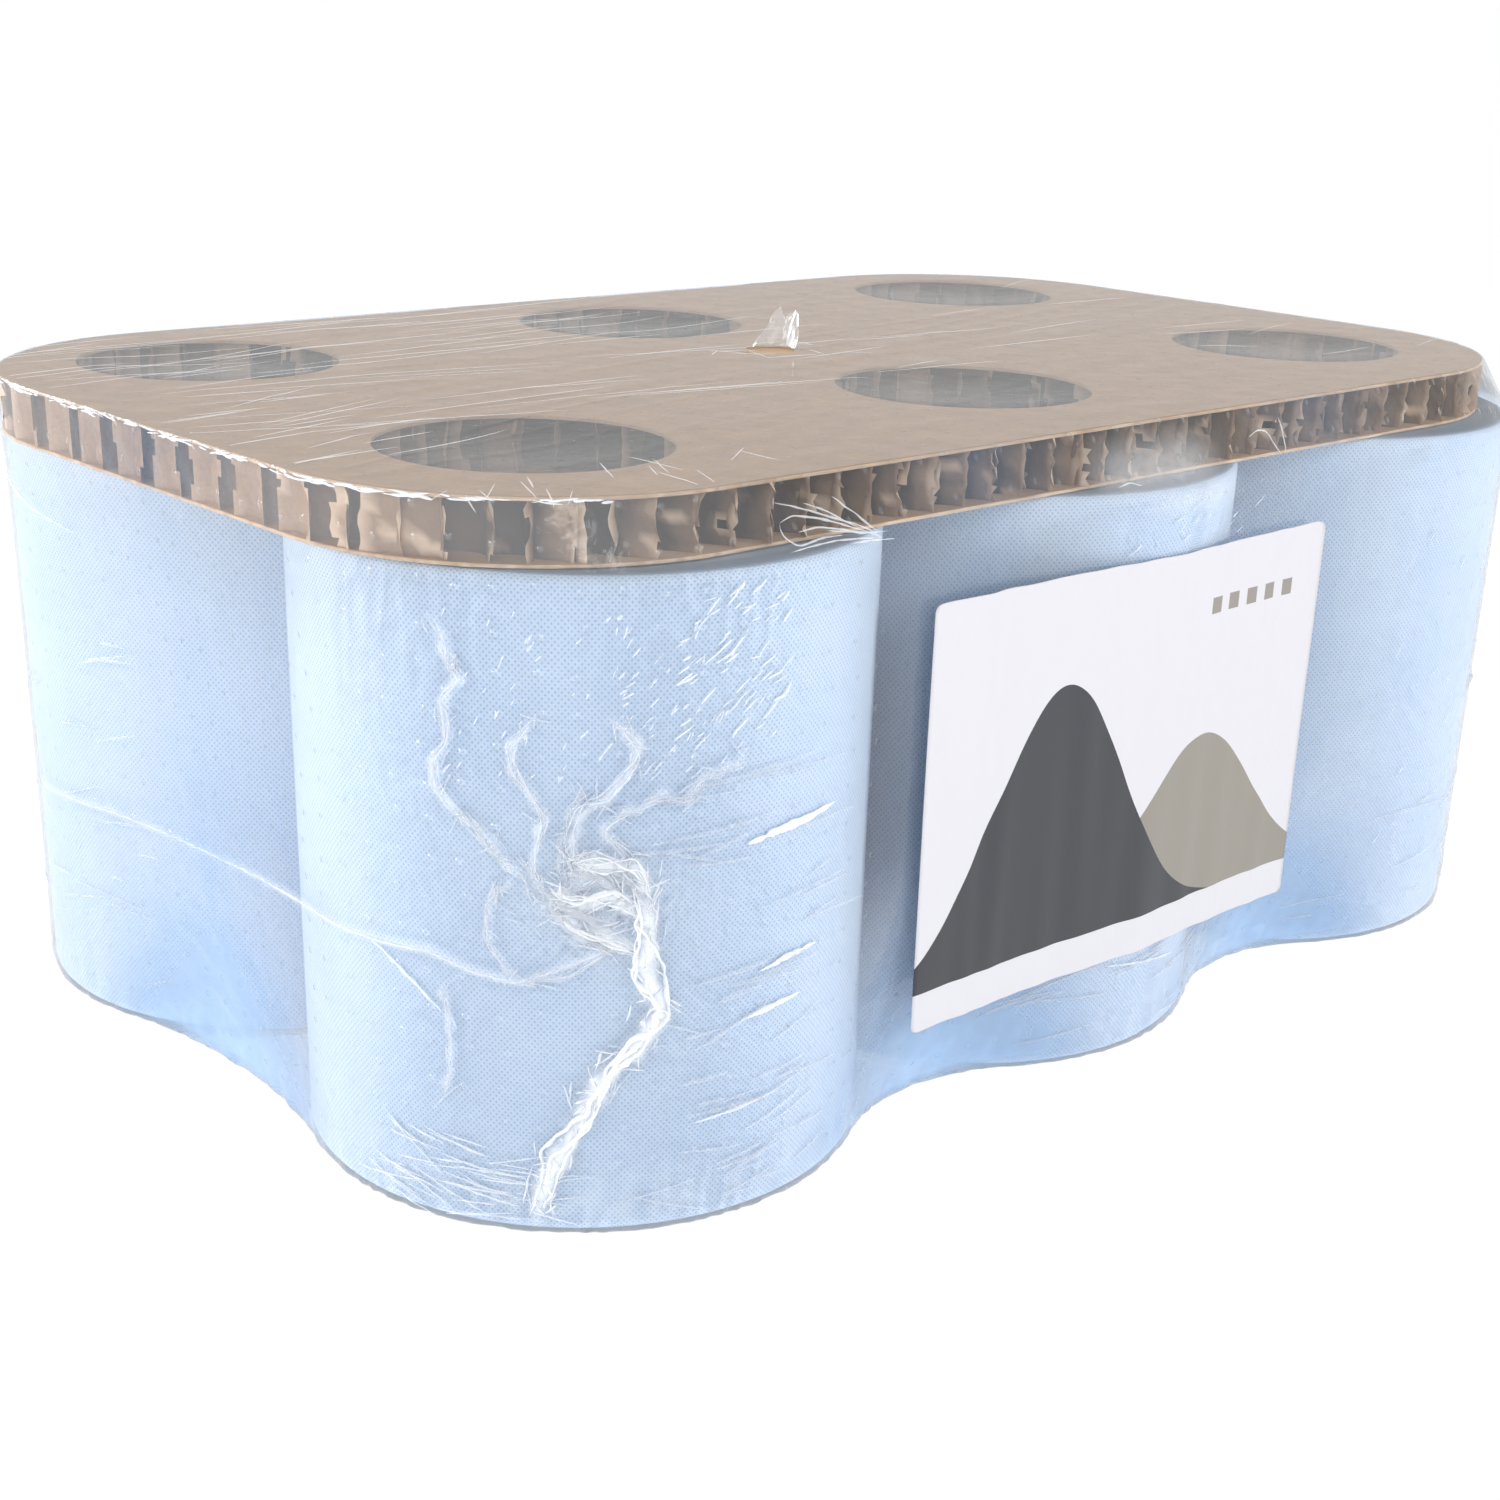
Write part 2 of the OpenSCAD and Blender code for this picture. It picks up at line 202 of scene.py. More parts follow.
def waves(x, y, size, seed, count=14):
    """Smooth random relief between about -1 and 1: the scaled sum of plane waves of about one length,
    with random directions and phases"""
    rng = np.random.default_rng(seed)
    turn = rng.uniform(0, 2 * np.pi, count)
    pace = 2 * np.pi / (size * rng.uniform(0.7, 1.5, count))
    shift = rng.uniform(0, 2 * np.pi, count)
    total = np.zeros(np.broadcast(x, y).shape)
    for k in range(count):
        total += np.sin(pace[k] * (np.cos(turn[k]) * x + np.sin(turn[k]) * y) + shift[k])
    return total / math.sqrt(count / 2) / 1.6


def quads(shape):
    """Corner numbers of the quads of one or more grids, whose last axes are rows and columns"""
    rows, columns = shape[-2:]
    count = int(np.prod(shape)) // (rows * columns)
    number = np.arange(rows * columns).reshape(rows, columns)
    one = np.stack([number[:-1, :-1], number[:-1, 1:], number[1:, 1:], number[1:, :-1]], -1).reshape(-1, 4)
    return (one[None] + (np.arange(count) * rows * columns)[:, None, None]).reshape(-1, 4)


def make_piece(name, parts, material, replaced=(), merged=True):
    """One mesh of grids of points in millimetres, each with its map and its point values. Faces whose
    points are all marked as gone are left out. Doubled points are merged, which closes seams and poles"""
    points = np.concatenate([p["points"].reshape(-1, 3) for p in parts])
    place = np.concatenate([p["uv"].reshape(-1, 2) for p in parts])
    starts = np.cumsum([0] + [p["points"].size // 3 for p in parts])
    faces = np.concatenate([quads(p["points"].shape[:-1]) + s for p, s in zip(parts, starts)])
    if "gone" in parts[0].get("values", {}):
        gone = np.concatenate([p["values"]["gone"].ravel() for p in parts]) > 0.5
        faces = faces[~gone[faces].all(axis=1)]
    mesh = bpy.data.meshes.new(name)
    mesh.vertices.add(len(points))
    mesh.vertices.foreach_set("co", (points * MM).ravel())
    mesh.loops.add(faces.size)
    mesh.loops.foreach_set("vertex_index", faces.ravel())
    mesh.polygons.add(len(faces))
    mesh.polygons.foreach_set("loop_start", np.arange(0, faces.size, 4))
    mesh.polygons.foreach_set("use_smooth", np.ones(len(faces), dtype=bool))
    mesh.uv_layers.new(name="Sheet").data.foreach_set("uv", place[faces.ravel()].ravel())
    for key in parts[0].get("values", {}):
        layer = mesh.attributes.new(key, "FLOAT", "POINT")
        layer.data.foreach_set("value", np.concatenate([p["values"][key].ravel() for p in parts]))
    mesh.update()
    if merged:
        work = bmesh.new()
        work.from_mesh(mesh)
        bmesh.ops.remove_doubles(work, verts=work.verts, dist=0.002 * MM)
        work.to_mesh(mesh)
        work.free()
    mesh.validate()
    mesh.materials.append(material)
    piece = bpy.data.objects.new(name, mesh)
    bpy.context.scene.collection.objects.link(piece)
    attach(piece, "root")
    if replaced:
        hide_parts(*replaced)
    return piece


# Towel rolls

def towel_material(sizes, colours):
    """Two-ply creped tissue, dyed light blue and embossed between rolls: matt and soft, with rows of
    small dimples that look like darker dots, and fine rings of turns on its end faces. The dark of the
    dots is painted shade in the dimples' hollows, and the end faces are darkened by painted shade as well"""
    material, tree = blank_material("embossed_tissue_paper")
    uv = add(tree, "ShaderNodeTexCoord").outputs["UV"]
    place = add(tree, "ShaderNodeSeparateXYZ", {0: uv}).outputs
    # Dimples: the product of a cosine along the web and one up it, squared where it is positive
    cosines = []
    for line, spacing in ((place[0], sizes.dimple_across), (place[1], sizes.dimple_up)):
        cosines.append(maths(tree, "COSINE", maths(tree, "MULTIPLY", line, 2 * math.pi / (spacing / MM))))
    dots = maths(tree, "POWER", maths(tree, "MAXIMUM", maths(tree, "MULTIPLY", *cosines), 0.0), 2.0)
    # The loose end carries a strip without dimples, and the end faces have none
    plain = point_value(tree, "plain")
    dimples = maths(tree, "MULTIPLY", dots, maths(tree, "SUBTRACT", 1.0, plain, clamped=True))
    # Turns of 0.35 mm, drawn 0.9 mm apart so that they show
    turns = add(tree, "ShaderNodeTexWave", {"Vector": uv, "Scale": 0.35, "Distortion": 1.2, "Detail": 2.0,
                                            "Detail Scale": 0.6}, bands_direction="Y").outputs[1]
    ringed = maths(tree, "MULTIPLY", turns, plain)
    crepe = noise(tree, uv, 0.45, 4.0, 0.6)
    cloud = ramp(tree, noise(tree, uv, 0.02, 2.0), 0.3, 0.7, 0.0, 0.12)
    # Painted shade: the dimples are darkened towards the dimple colour, as if their hollows lay in shade; the
    # cloud and the rings of turns are the paper's own tone
    dark = maths(tree, "MULTIPLY_ADD", dimples, 0.85, cloud, clamped=True)
    dark = maths(tree, "MULTIPLY_ADD", ringed, 0.35, dark, clamped=True)
    colour = mixed(tree, dark, tuple(colours.towel), tuple(colours.dimple))
    relief = maths(tree, "MULTIPLY_ADD", crepe, 0.35, maths(tree, "MULTIPLY_ADD", dimples, -1.0, ringed))
    # The end faces are made greyer and darker: partly the cut plies' own tone, partly painted shade, as they
    # lie in shadow under the pad
    end_shade_share = maths(tree, "MULTIPLY", point_value(tree, "end"), 0.75)
    end_shaded_colour = mixed(tree, end_shade_share, colour, linear("#9aaabb"))
    cover(tree, end_shaded_colour, 0.92, 0.2, bumped(tree, 0.55, 0.0003, relief))
    return material


def roll_outline(angle, tail, column, row, sizes):
    """Distance of a roll's outer turn from its axis. It grows by the tail step over one turn from the
    loose end, and is pressed flat towards each neighbour: the smooth least of both"""
    radius = sizes.roll_diameter / MM / 2
    step = sizes.tail_step / MM
    wound = radius - step + step * ((angle - tail) % (2 * np.pi)) / (2 * np.pi)
    soft = 2.0
    total = np.exp(-soft * (wound - radius))
    for there, facing, flat in ((column > 0, np.pi, PITCH[0]), (column < 2, 0.0, PITCH[0]),
                                (row > 0, -np.pi / 2, PITCH[1]), (row < 1, np.pi / 2, PITCH[1])):
        if there:
            reach = (flat / 2 - 0.15) / np.maximum(np.cos(angle - facing), 0.05)
            total = total + np.exp(-soft * (reach - radius))
    return radius - np.log(total) / soft


def roll_piece(number, material, sizes):
    """A closed grid of angle round the axis by place along the half section: out along the lower end
    face, up the wall, in along the upper end face and down the bore. The end faces carry bands of turns
    that stand a little higher or lower, which follow the spiral of the web"""
    name = ROLL_NAMES[number]
    tail = math.radians(TAIL_ANGLES[number])
    angle = tail + np.append(np.linspace(0, 2 * np.pi, 285)[:-1], [2 * np.pi - 0.003, 2 * np.pi])
    outer = roll_outline(angle, tail, number % 3, number // 3, sizes)
    rim = sizes.rim / MM
    # The bore clears the core, and the bands of turns sink by up to the relief
    bore = 21.2
    relief = 0.5
    share = np.linspace(0, 1, 26)
    bend = np.linspace(0, np.pi / 2, 7)[1:]
    flat = outer[None] - rim
    face_r = bore + share[:, None] * (flat - bore)
    # Each turn is met one web thickness further out after a full circle
    spiral = face_r - angle[None] / (2 * np.pi) * 2.4
    sink = relief * (0.5 + 0.5 * np.clip(waves(spiral, 0 * spiral, 9, 31 + number), -1, 1))
    sink = sink * np.clip((1 - share[:, None]) * 12, 0, 1)
    wall_z = np.linspace(ROLL_FOOT + rim, ROLL_TOP - rim, 40)
    ease = np.sin(np.clip((wall_z - ROLL_FOOT - rim) / (ROLL_TOP - ROLL_FOOT - 2 * rim), 0, 1) * np.pi)
    round_about = np.cos(angle)[None] * 95, np.sin(angle)[None] * 95
    # The wall is a little uneven from the winding, and only ever inwards
    dent = 0.35 * ease[:, None] * (0.5 + 0.5 * waves(round_about[0] + wall_z[:, None] * 0.15,
                                                    round_about[1], 90, 41 + number))
    low_bend = flat + rim * np.sin(bend)[:, None]
    radius = np.concatenate([face_r, low_bend, outer[None] - np.maximum(dent, 0), low_bend[::-1],
                             face_r[::-1], np.full((3, len(angle)), bore)])
    height = np.concatenate([ROLL_FOOT + sink, ROLL_FOOT + rim * (1 - np.cos(bend))[:, None] + 0 * flat,
                             wall_z[:, None] + 0 * outer[None],
                             ROLL_TOP - rim * (1 - np.cos(bend[::-1]))[:, None] + 0 * flat,
                             (ROLL_TOP - sink)[::-1],
                             np.array([ROLL_TOP - 70, ROLL_FOOT + 70, ROLL_FOOT])[:, None] + 0 * outer[None]])
    height[-1] = height[0]
    axis = ROLL_PLACES[number]
    points = np.stack([axis[0] + radius * np.cos(angle), axis[1] + radius * np.sin(angle), height], -1)
    length = (angle - tail)[None] * sizes.roll_diameter / MM / 2 + 0 * radius
    past_rim = np.where(height > 100, 1, -1) * np.clip(flat + rim - radius, 0, None)
    uv = np.stack([length, height + past_rim], -1)
    on_end = (radius < flat + 0.6 * rim) * 1.0
    strip = np.clip((11 - length) / 2, 0, 1) * np.clip(length / 0.5, 0, 1)
    values = {"plain": np.maximum(on_end, strip), "end": on_end}
    return make_piece("wound_towel_" + name, [{"points": points, "uv": uv, "values": values}], material,
                      ["towel_roll_" + name])


class TOWELPACK_OT_rolls(bpy.types.Operator):
    """Builds the six wound rolls, pressed flat against each other"""
    bl_idname = "towelpack.rolls"
    bl_label = "Towel rolls"

    def execute(self, context):
        sizes = context.scene.pack_sizes
        material = towel_material(sizes, context.scene.pack_colours)
        for number in range(len(ROLL_NAMES)):
            roll_piece(number, material, sizes)
        return {"FINISHED"}


# Roll cores

def core_material(colours):
    """Spirally wound grey board: matt and brown-grey, with soft fibres and a butt joint that climbs
    round the tube"""
    material, tree = blank_material("spiral_wound_core_board")
    place = add(tree, "ShaderNodeTexCoord").outputs["Object"]
    fibres = noise(tree, place, 900.0, 5.0, 0.65)
    plies = add(tree, "ShaderNodeTexWave", {"Vector": place, "Scale": 6.0, "Distortion": 0.6},
                bands_direction="DIAGONAL", wave_profile="SAW").outputs[1]
    tone = ramp(tree, fibres, 0.3, 0.7, 0.0, 0.35)
    joint = ramp(tree, plies, 0.93, 1.0, 0.0, 0.4)
    dark = maths(tree, "ADD", tone, joint, clamped=True)
    colour = mixed(tree, dark, tuple(colours.core), linear("#6f5a45"))
    cover(tree, colour, 0.88, 0.25, bumped(tree, 0.3, 0.0002, fibres))
    return material


class TOWELPACK_OT_cores(bpy.types.Operator):
    """Gives the six roll cores their board"""
    bl_idname = "towelpack.cores"
    bl_label = "Roll cores"

    def execute(self, context):
        material = core_material(context.scene.pack_colours)
        for name in ROLL_NAMES:
            bpy.data.objects["roll_core_" + name].material_slots[0].material = material
        return {"FINISHED"}


# Card pad

def kraft_material(name, base, torn, bump_depth):
    """Brown kraft paper: matt, mottled where fibres lie thick or thin, with short fibres a few tenths
    of a millimetre wide, and a paler fuzz where it is torn. Deep in a cell it is darkened by painted shade"""
    material, tree = blank_material(name)
    place = add(tree, "ShaderNodeTexCoord").outputs["Object"]
    stretched = add(tree, "ShaderNodeMapping", {"Vector": place, "Scale": (260.0, 900.0, 900.0)}).outputs[0]
    fibres = noise(tree, stretched, 1.0, 4.0, 0.7)
    thick = ramp(tree, noise(tree, place, 90.0, 3.0), 0.3, 0.7, 0.0, 0.42)
    grain = ramp(tree, fibres, 0.35, 0.75, 0.0, 0.4)
    spots = ramp(tree, noise(tree, place, 1500.0, 1.0), 0.66, 0.72, 0.0, 0.4)
    mottled = maths(tree, "ADD", maths(tree, "ADD", thick, grain), spots, clamped=True)
    colour = mixed(tree, mottled, base, tuple(c * 0.62 for c in base[:3]) + (1.0,))
    # Painted shade: deep in a cell hardly any light comes back out, so the colour is darkened there
    dimmed = maths(tree, "MULTIPLY", point_value(tree, "deep"), 0.93)
    shaded = mixed(tree, dimmed, colour, linear("#211a14"))
    fuzzed = mixed(tree, point_value(tree, "torn"), shaded, torn)
    cover(tree, fuzzed, 0.86, 0.25, bumped(tree, 0.5, bump_depth, fibres))
    return material


# The pad's holes lie 199.5 by 190.5 mm apart and the rolls 185 by 187 mm, and the holes sit off the middle
HOLE_SPREAD = np.array([199.5 / 185.0, 190.5 / 187.0])
HOLE_SHIFT = np.array([0.0, 7.0])


def pad_half_sizes():
    """Middle and half sizes of the pad in plan"""
    return (PAD_LOW + PAD_HIGH)[:2] / 2, (PAD_HIGH - PAD_LOW)[:2] / 2


def hole_places():
    """Middles of the pad's holes: a little further apart than the rolls, and off the pad's middle"""
    return pad_half_sizes()[0] + ROLL_PLACES * HOLE_SPREAD + HOLE_SHIFT


def pad_reach(across, half_along, half_across, corner):
    """Half length of the pad's outline at a distance from its middle line: straight sides, and corner
    arcs by Pythagoras"""
    past = np.clip(np.abs(across) - (half_across - corner), 0, corner)
    inside = np.abs(across) < half_across
    return np.where(inside, half_along - corner + np.sqrt(np.maximum(corner ** 2 - past ** 2, 0)), 0.0)


def honeycomb_grids(sizes):
    """Strips of paper opened into cells. Strip k runs along Y as a clipped triangle wave about its own
    line, mirrored from one strip to the next, so that neighbours meet on their flats. Each end is drawn
    back by chance where the pad was cut or torn, more at some heights, and the paper buckles and leans"""
    cell = sizes.cell / MM
    side = cell / math.sqrt(3)
    corner = sizes.pad_corner / MM
    middle, half = pad_half_sizes()
    hole = sizes.hole / MM / 2
    rng = np.random.default_rng(7)
    count = int(half[0] // (cell / 2))
    strip = np.arange(-count, count + 1)
    pace = 2.1
    along = np.arange(-half[1] - 2, half[1] + 2, pace)
    rise = np.linspace(0, 1, 8)
    k, z, y = np.meshgrid(strip, rise, along, indexing="ij")
    phase = (y / (3 * side)) % 1
    triangle = 1 - 4 * np.abs(phase - 0.5)
    sway = np.clip(triangle * 1.5, -1, 1) * cell / 4 * np.where(k % 2 == 0, 1, -1)
    sway = sway * rng.uniform(0.7, 1.1, len(strip))[:, None, None]
    buckle = 1.3 * waves(y + 13 * k, z * 14, 11, 5) * np.sin(np.pi * z)
    buckle = buckle + 0.9 * waves(y + 29 * k, 0 * z, 25, 6)
    lean = 1.1 * waves(31 * k, y, 40, 9) * (z - 0.5)
    x = k * cell / 2 + sway + buckle + lean
    x = np.where(np.abs(x) > half[0] - 0.3, np.sign(x) * (half[0] - 0.2), x)
    bites = np.clip(waves(z * 15 + 31 * k, y * 0.4, 9, 8) - 0.55, 0, 1) * 14
    ragged = rng.uniform(0.2, 2.4, len(strip))[:, None, None]
    ragged = ragged + 0.5 * waves(z * 18 + 31 * k, 0 * y, 2.5, 7) + bites
    reach = np.maximum(pad_reach(x, half[1], half[0], corner) - ragged, 0)
    past_end = np.abs(x) > half[0] - 0.3
    outside = (np.abs(y) > reach) | past_end
    torn = np.clip(1.2 - (reach - np.abs(y)) / 1.1, 0, 1)
    # Only the first point past the outline is drawn back onto it, where the wall is cut
    cut_here = outside & ~past_end & (np.abs(y) < reach + pace)
    y = np.where(cut_here, np.clip(y, -reach, reach), y)
    # Distance from the nearest cut, at the outline or at a hole
    depth = np.minimum(np.maximum(reach - np.abs(y), 0), 0.2 * (half[0] - np.abs(x)))
    inside = np.zeros(x.shape, dtype=bool)
    for place in hole_places() - middle:
        chord = np.sqrt(np.maximum((hole + 0.5) ** 2 - (x - place[0]) ** 2, 0)) + 0.12 * ragged
        gap = y - place[1]
        beside = np.abs(x - place[0]) < hole
        within = (np.abs(gap) < chord) & beside
        inside |= within
        depth = np.where(beside, np.minimum(depth, 0.4 * np.abs(np.abs(gap) - chord)), depth)
        y = np.where(within & (np.abs(gap) > chord - pace), place[1] + np.sign(gap) * chord, y)
    height = CELLS_LOW + 0.05 + z * (CELLS_TOP - CELLS_LOW - 0.1)
    points = np.stack([middle[0] + x, middle[1] + y, height], -1)
    uv = np.stack([y, height], -1)
    # How deep a point lies in the pad sets the painted shade of the cells
    values = {"torn": torn * 0.85, "deep": np.clip(depth / 8, 0, 1), "gone": (outside | inside) * 1.0}
    return [{"points": points, "uv": uv, "values": values}]


def fray_grid(base_z, thick, seed, sizes):
    """Rounded, slightly wavy edge of a liner: across it half an ellipse from the lower to the upper face,
    swept along the pad's outline. Each quarter of it runs along half a side, round the corner's arc, and
    along half of the next side"""
    corner = sizes.pad_corner / MM
    middle, half = pad_half_sizes()
    flat = half - corner
    turn = np.linspace(0, 2 * np.pi, 900)
    quarter = np.floor(turn / (np.pi / 2)).clip(0, 3)
    # Of a quarter's points the first and last fourth lie on the sides, and the others on the arc
    share = turn / (np.pi / 2) - quarter
    before = np.clip(share / 0.25, 0, 1)
    arc = np.clip((share - 0.25) / 0.5, 0, 1) * np.pi / 2
    after = np.clip((share - 0.75) / 0.25, 0, 1)
    even = quarter % 2 == 0
    side_across = np.where(even, flat[0], flat[1])
    side_ahead = np.where(even, flat[1], flat[0])
    across = (1 - after) * side_across + corner * np.cos(arc)
    ahead = before * side_ahead + corner * np.sin(arc)
    cos_q = np.cos(quarter * np.pi / 2)
    sin_q = np.sin(quarter * np.pi / 2)
    outline = np.stack([across * cos_q - ahead * sin_q, across * sin_q + ahead * cos_q], -1)
    facing = quarter * np.pi / 2 + arc
    out = np.stack([np.cos(facing), np.sin(facing)], -1)
    swing = np.linspace(-np.pi / 2, np.pi / 2, 6)[:, None]
    # Running length for the relief, at 290 mm to the radian
    s = turn[None] * 290
    wander = 0.35 * waves(s, 0 * s, 17, seed) + 0.25 * waves(s, 0 * s, 4.5, seed + 1)
    lift = 0.25 * waves(s, 0 * s, 26, seed + 2)
    reach = (0.25 + wander).clip(0.05, 0.8) * np.cos(swing)
    z = base_z + thick / 2 + (thick / 2 + 0.06) * np.sin(swing) + lift * np.cos(swing) * 0.6
    xy = middle + outline + out * reach[..., None]
    points = np.concatenate([xy, z[..., None]], -1)
    uv = np.stack([s + 0 * z, z], -1)
    # The pale torn colour on a liner's edge is partly its cut fibres and partly a painted highlight of the
    # film's glare along the edge
    return {"points": points, "uv": uv, "values": {"torn": 0 * z + 0.55 + 0.3 * waves(s, z, 9, seed + 3)}}


class TOWELPACK_OT_pad(bpy.types.Operator):
    """Builds the opened honeycomb and the frayed edges of the card pad, and gives its liners their kraft"""
    bl_idname = "towelpack.pad"
    bl_label = "Card pad"

    def execute(self, context):
        sizes = context.scene.pack_sizes
        colours = context.scene.pack_colours
        torn = tuple(colours.torn)
        liner = kraft_material("kraft_liner_paper", tuple(colours.liner), torn, bump_depth=0.00015)
        cells = kraft_material("kraft_honeycomb_paper", tuple(colours.cells), torn, bump_depth=0.0003)
        for node in ("pad_top_liner", "pad_bottom_liner"):
            bpy.data.objects[node].material_slots[0].material = liner
        make_piece("opened_honeycomb", honeycomb_grids(sizes), cells, ["pad_honeycomb"],
                   merged=False)
        make_piece("frayed_liner_edges",
                   [fray_grid(CELLS_TOP, PAD_HIGH[2] - CELLS_TOP, 51, sizes),
                    fray_grid(PAD_LOW[2], CELLS_LOW - PAD_LOW[2], 61, sizes)], liner)
        return {"FINISHED"}


# Shrink film

def film_material(sizes, name, relief_depth, mirror_share):
    """Polyethylene film, blown and shrunk tight: clear and glossy with a faint milky haze that thickens where
    it is gathered, a slight orange peel, and pinholes whose melted rims catch the light. The same white
    surface
    carries painted highlights: a sheen where the film is seen at a slant, on the pinholes' rims, on folds
    that stand for glints, as glare, and a blue reflection in the hollows"""
    material, tree = blank_material(name)
    uv = add(tree, "ShaderNodeTexCoord").outputs["UV"]
    spacing = sizes.pin_spacing / MM
    pins = add(tree, "ShaderNodeTexVoronoi", {"Vector": uv, "Scale": 1 / spacing, "Randomness": 0.28},
               voronoi_dimensions="2D").outputs[0]
    # Distance from the nearest pinhole in millimetres
    apart = maths(tree, "MULTIPLY", pins, spacing)
    inside = ramp(tree, apart, 0.35, 0.55, 1.0, 0.0)
    rim = ramp(tree, apart, 0.6, 1.3, 1.0, 0.0)
    swell = noise(tree, uv, 0.07, 2.0, distortion=0.6)
    peel = noise(tree, uv, 0.32, 2.0, distortion=0.3)
    relief = maths(tree, "MULTIPLY_ADD", rim, 0.35, maths(tree, "MULTIPLY_ADD", peel, 0.22, swell))
    normal = bumped(tree, 0.8, relief_depth, relief)
    tint = mixed(tree, inside, (0.975, 0.98, 0.985, 1.0), (0.84, 0.87, 0.9, 1.0))
    clear = add(tree, "ShaderNodeBsdfTransparent", {"Color": tint}).outputs[0]
    # Painted reflection: in the hollows the haze takes the blue of the paper around it
    haze = mixed(tree, point_value(tree, "blue"), linear("#f4f7fc"), linear("#a3c4ea"))
    white = add(tree, "ShaderNodeBsdfDiffuse", {"Color": haze, "Normal": normal}).outputs[0]
    mirror_like = {"Color": WHITE, "Roughness": 0.11, "Normal": normal}
    gloss = add(tree, "ShaderNodeBsdfGlossy", mirror_like).outputs[0]
    # The white layer: the film's own faint haze, with a painted sheen that grows where the film is seen at a
    # slant, a painted highlight on the pinholes' rims, and the milkiness of each point, which also carries
    # painted glints
    slant = add(tree, "ShaderNodeLayerWeight", {"Blend": 0.25}).outputs["Facing"]
    haze_and_slant_sheen = maths(tree, "MULTIPLY_ADD", slant, 0.08, 0.02)
    ringed = maths(tree, "MULTIPLY_ADD", rim, 0.07, haze_and_slant_sheen)
    thick = maths(tree, "MULTIPLY_ADD", point_value(tree, "milk"), 0.8, ringed, clamped=True)
    mirror = add(tree, "ShaderNodeFresnel", {"IOR": 1.5, "Normal": normal}).outputs[0]
    shine = maths(tree, "MULTIPLY", mirror, mirror_share, clamped=True)
    skin = blend(tree, shine, blend(tree, thick, clear, white), gloss)
    add(tree, "ShaderNodeOutputMaterial", {"Surface": skin})
    return material


def stations():
    """Level rays round the pack, in order against the clock. Each starts on the line of roll centres, and
    has its place in its gap, the half pitch there, and its direction. The front left corner is finest"""
    corner = np.abs(ROLL_PLACES).max(axis=0)
    walls = (((1, 1), (-1, 1), 2, 90, 20), ((-1, 1), (-1, -1), 1, 180, 130),
             ((-1, -1), (1, -1), 2, -90, 20), ((1, -1), (1, 1), 1, 0, 20))
    starts, places, halves, turns = [], [], [], []
    for start, end, gaps, facing, corner_steps in walls:
        a = np.array(start) * corner
        b = np.array(end) * corner
        half = np.linalg.norm(b - a) / gaps / 2
        share = np.linspace(0, 1, gaps * 52, endpoint=False)[:, None]
        starts += [a + (b - a) * share, np.repeat(b[None], corner_steps, 0)]
        places += [((share[:, 0] * gaps) % 1 * 2 - 1) * half, np.full(corner_steps, half)]
        halves += [np.full(len(share) + corner_steps, half)]
        turns += [np.full(len(share), float(facing)),
                  facing + 90 * np.linspace(0, 1, corner_steps, endpoint=False)]
    turn = np.radians(np.concatenate(turns))
    rays = [np.concatenate(starts), np.concatenate(places), np.concatenate(halves),
            np.stack([np.cos(turn), np.sin(turn)], -1)]
    return [np.concatenate([r, r[:1]]) for r in rays]


def film_out(place, half, radius, depth):
    """Distance of the film from the line of roll centres: on the rolls a circle, and between two rolls a
    hollow arc that touches both and sinks by depth"""
    reach = (half ** 2 + depth ** 2) / (2 * depth)
    hollow = reach - radius
    touch = half * hollow / reach
    arc = reach - depth - np.sqrt(np.maximum(hollow ** 2 - place ** 2, 0))
    circle = np.sqrt(np.maximum(radius ** 2 - (half - np.abs(place)) ** 2, 0))
    return np.where(np.abs(place) < touch, arc, circle)


def to_pad(start, ray, gap, sizes):
    """Distance along a ray to the pad's outline, set out by a gap: the nearer straight side, or the
    corner arc by the quadratic formula"""
    middle, half = pad_half_sizes()
    corner = sizes.pad_corner / MM
    flat = half - corner
    side = np.where(ray < 0, -1.0, 1.0)
    v = side * (start - middle)
    e = side * ray
    w = v - flat
    r = corner + gap
    along = (w * e).sum(-1)
    bend = -along + np.sqrt(np.maximum(along ** 2 - (w * w).sum(-1) + r * r, 0))
    at = v + bend[..., None] * e
    straight = np.where(e < 0.001, 1e6, (flat + r - v) / np.maximum(e, 0.001)).min(-1)
    return np.where((at >= flat).all(-1), bend, straight)


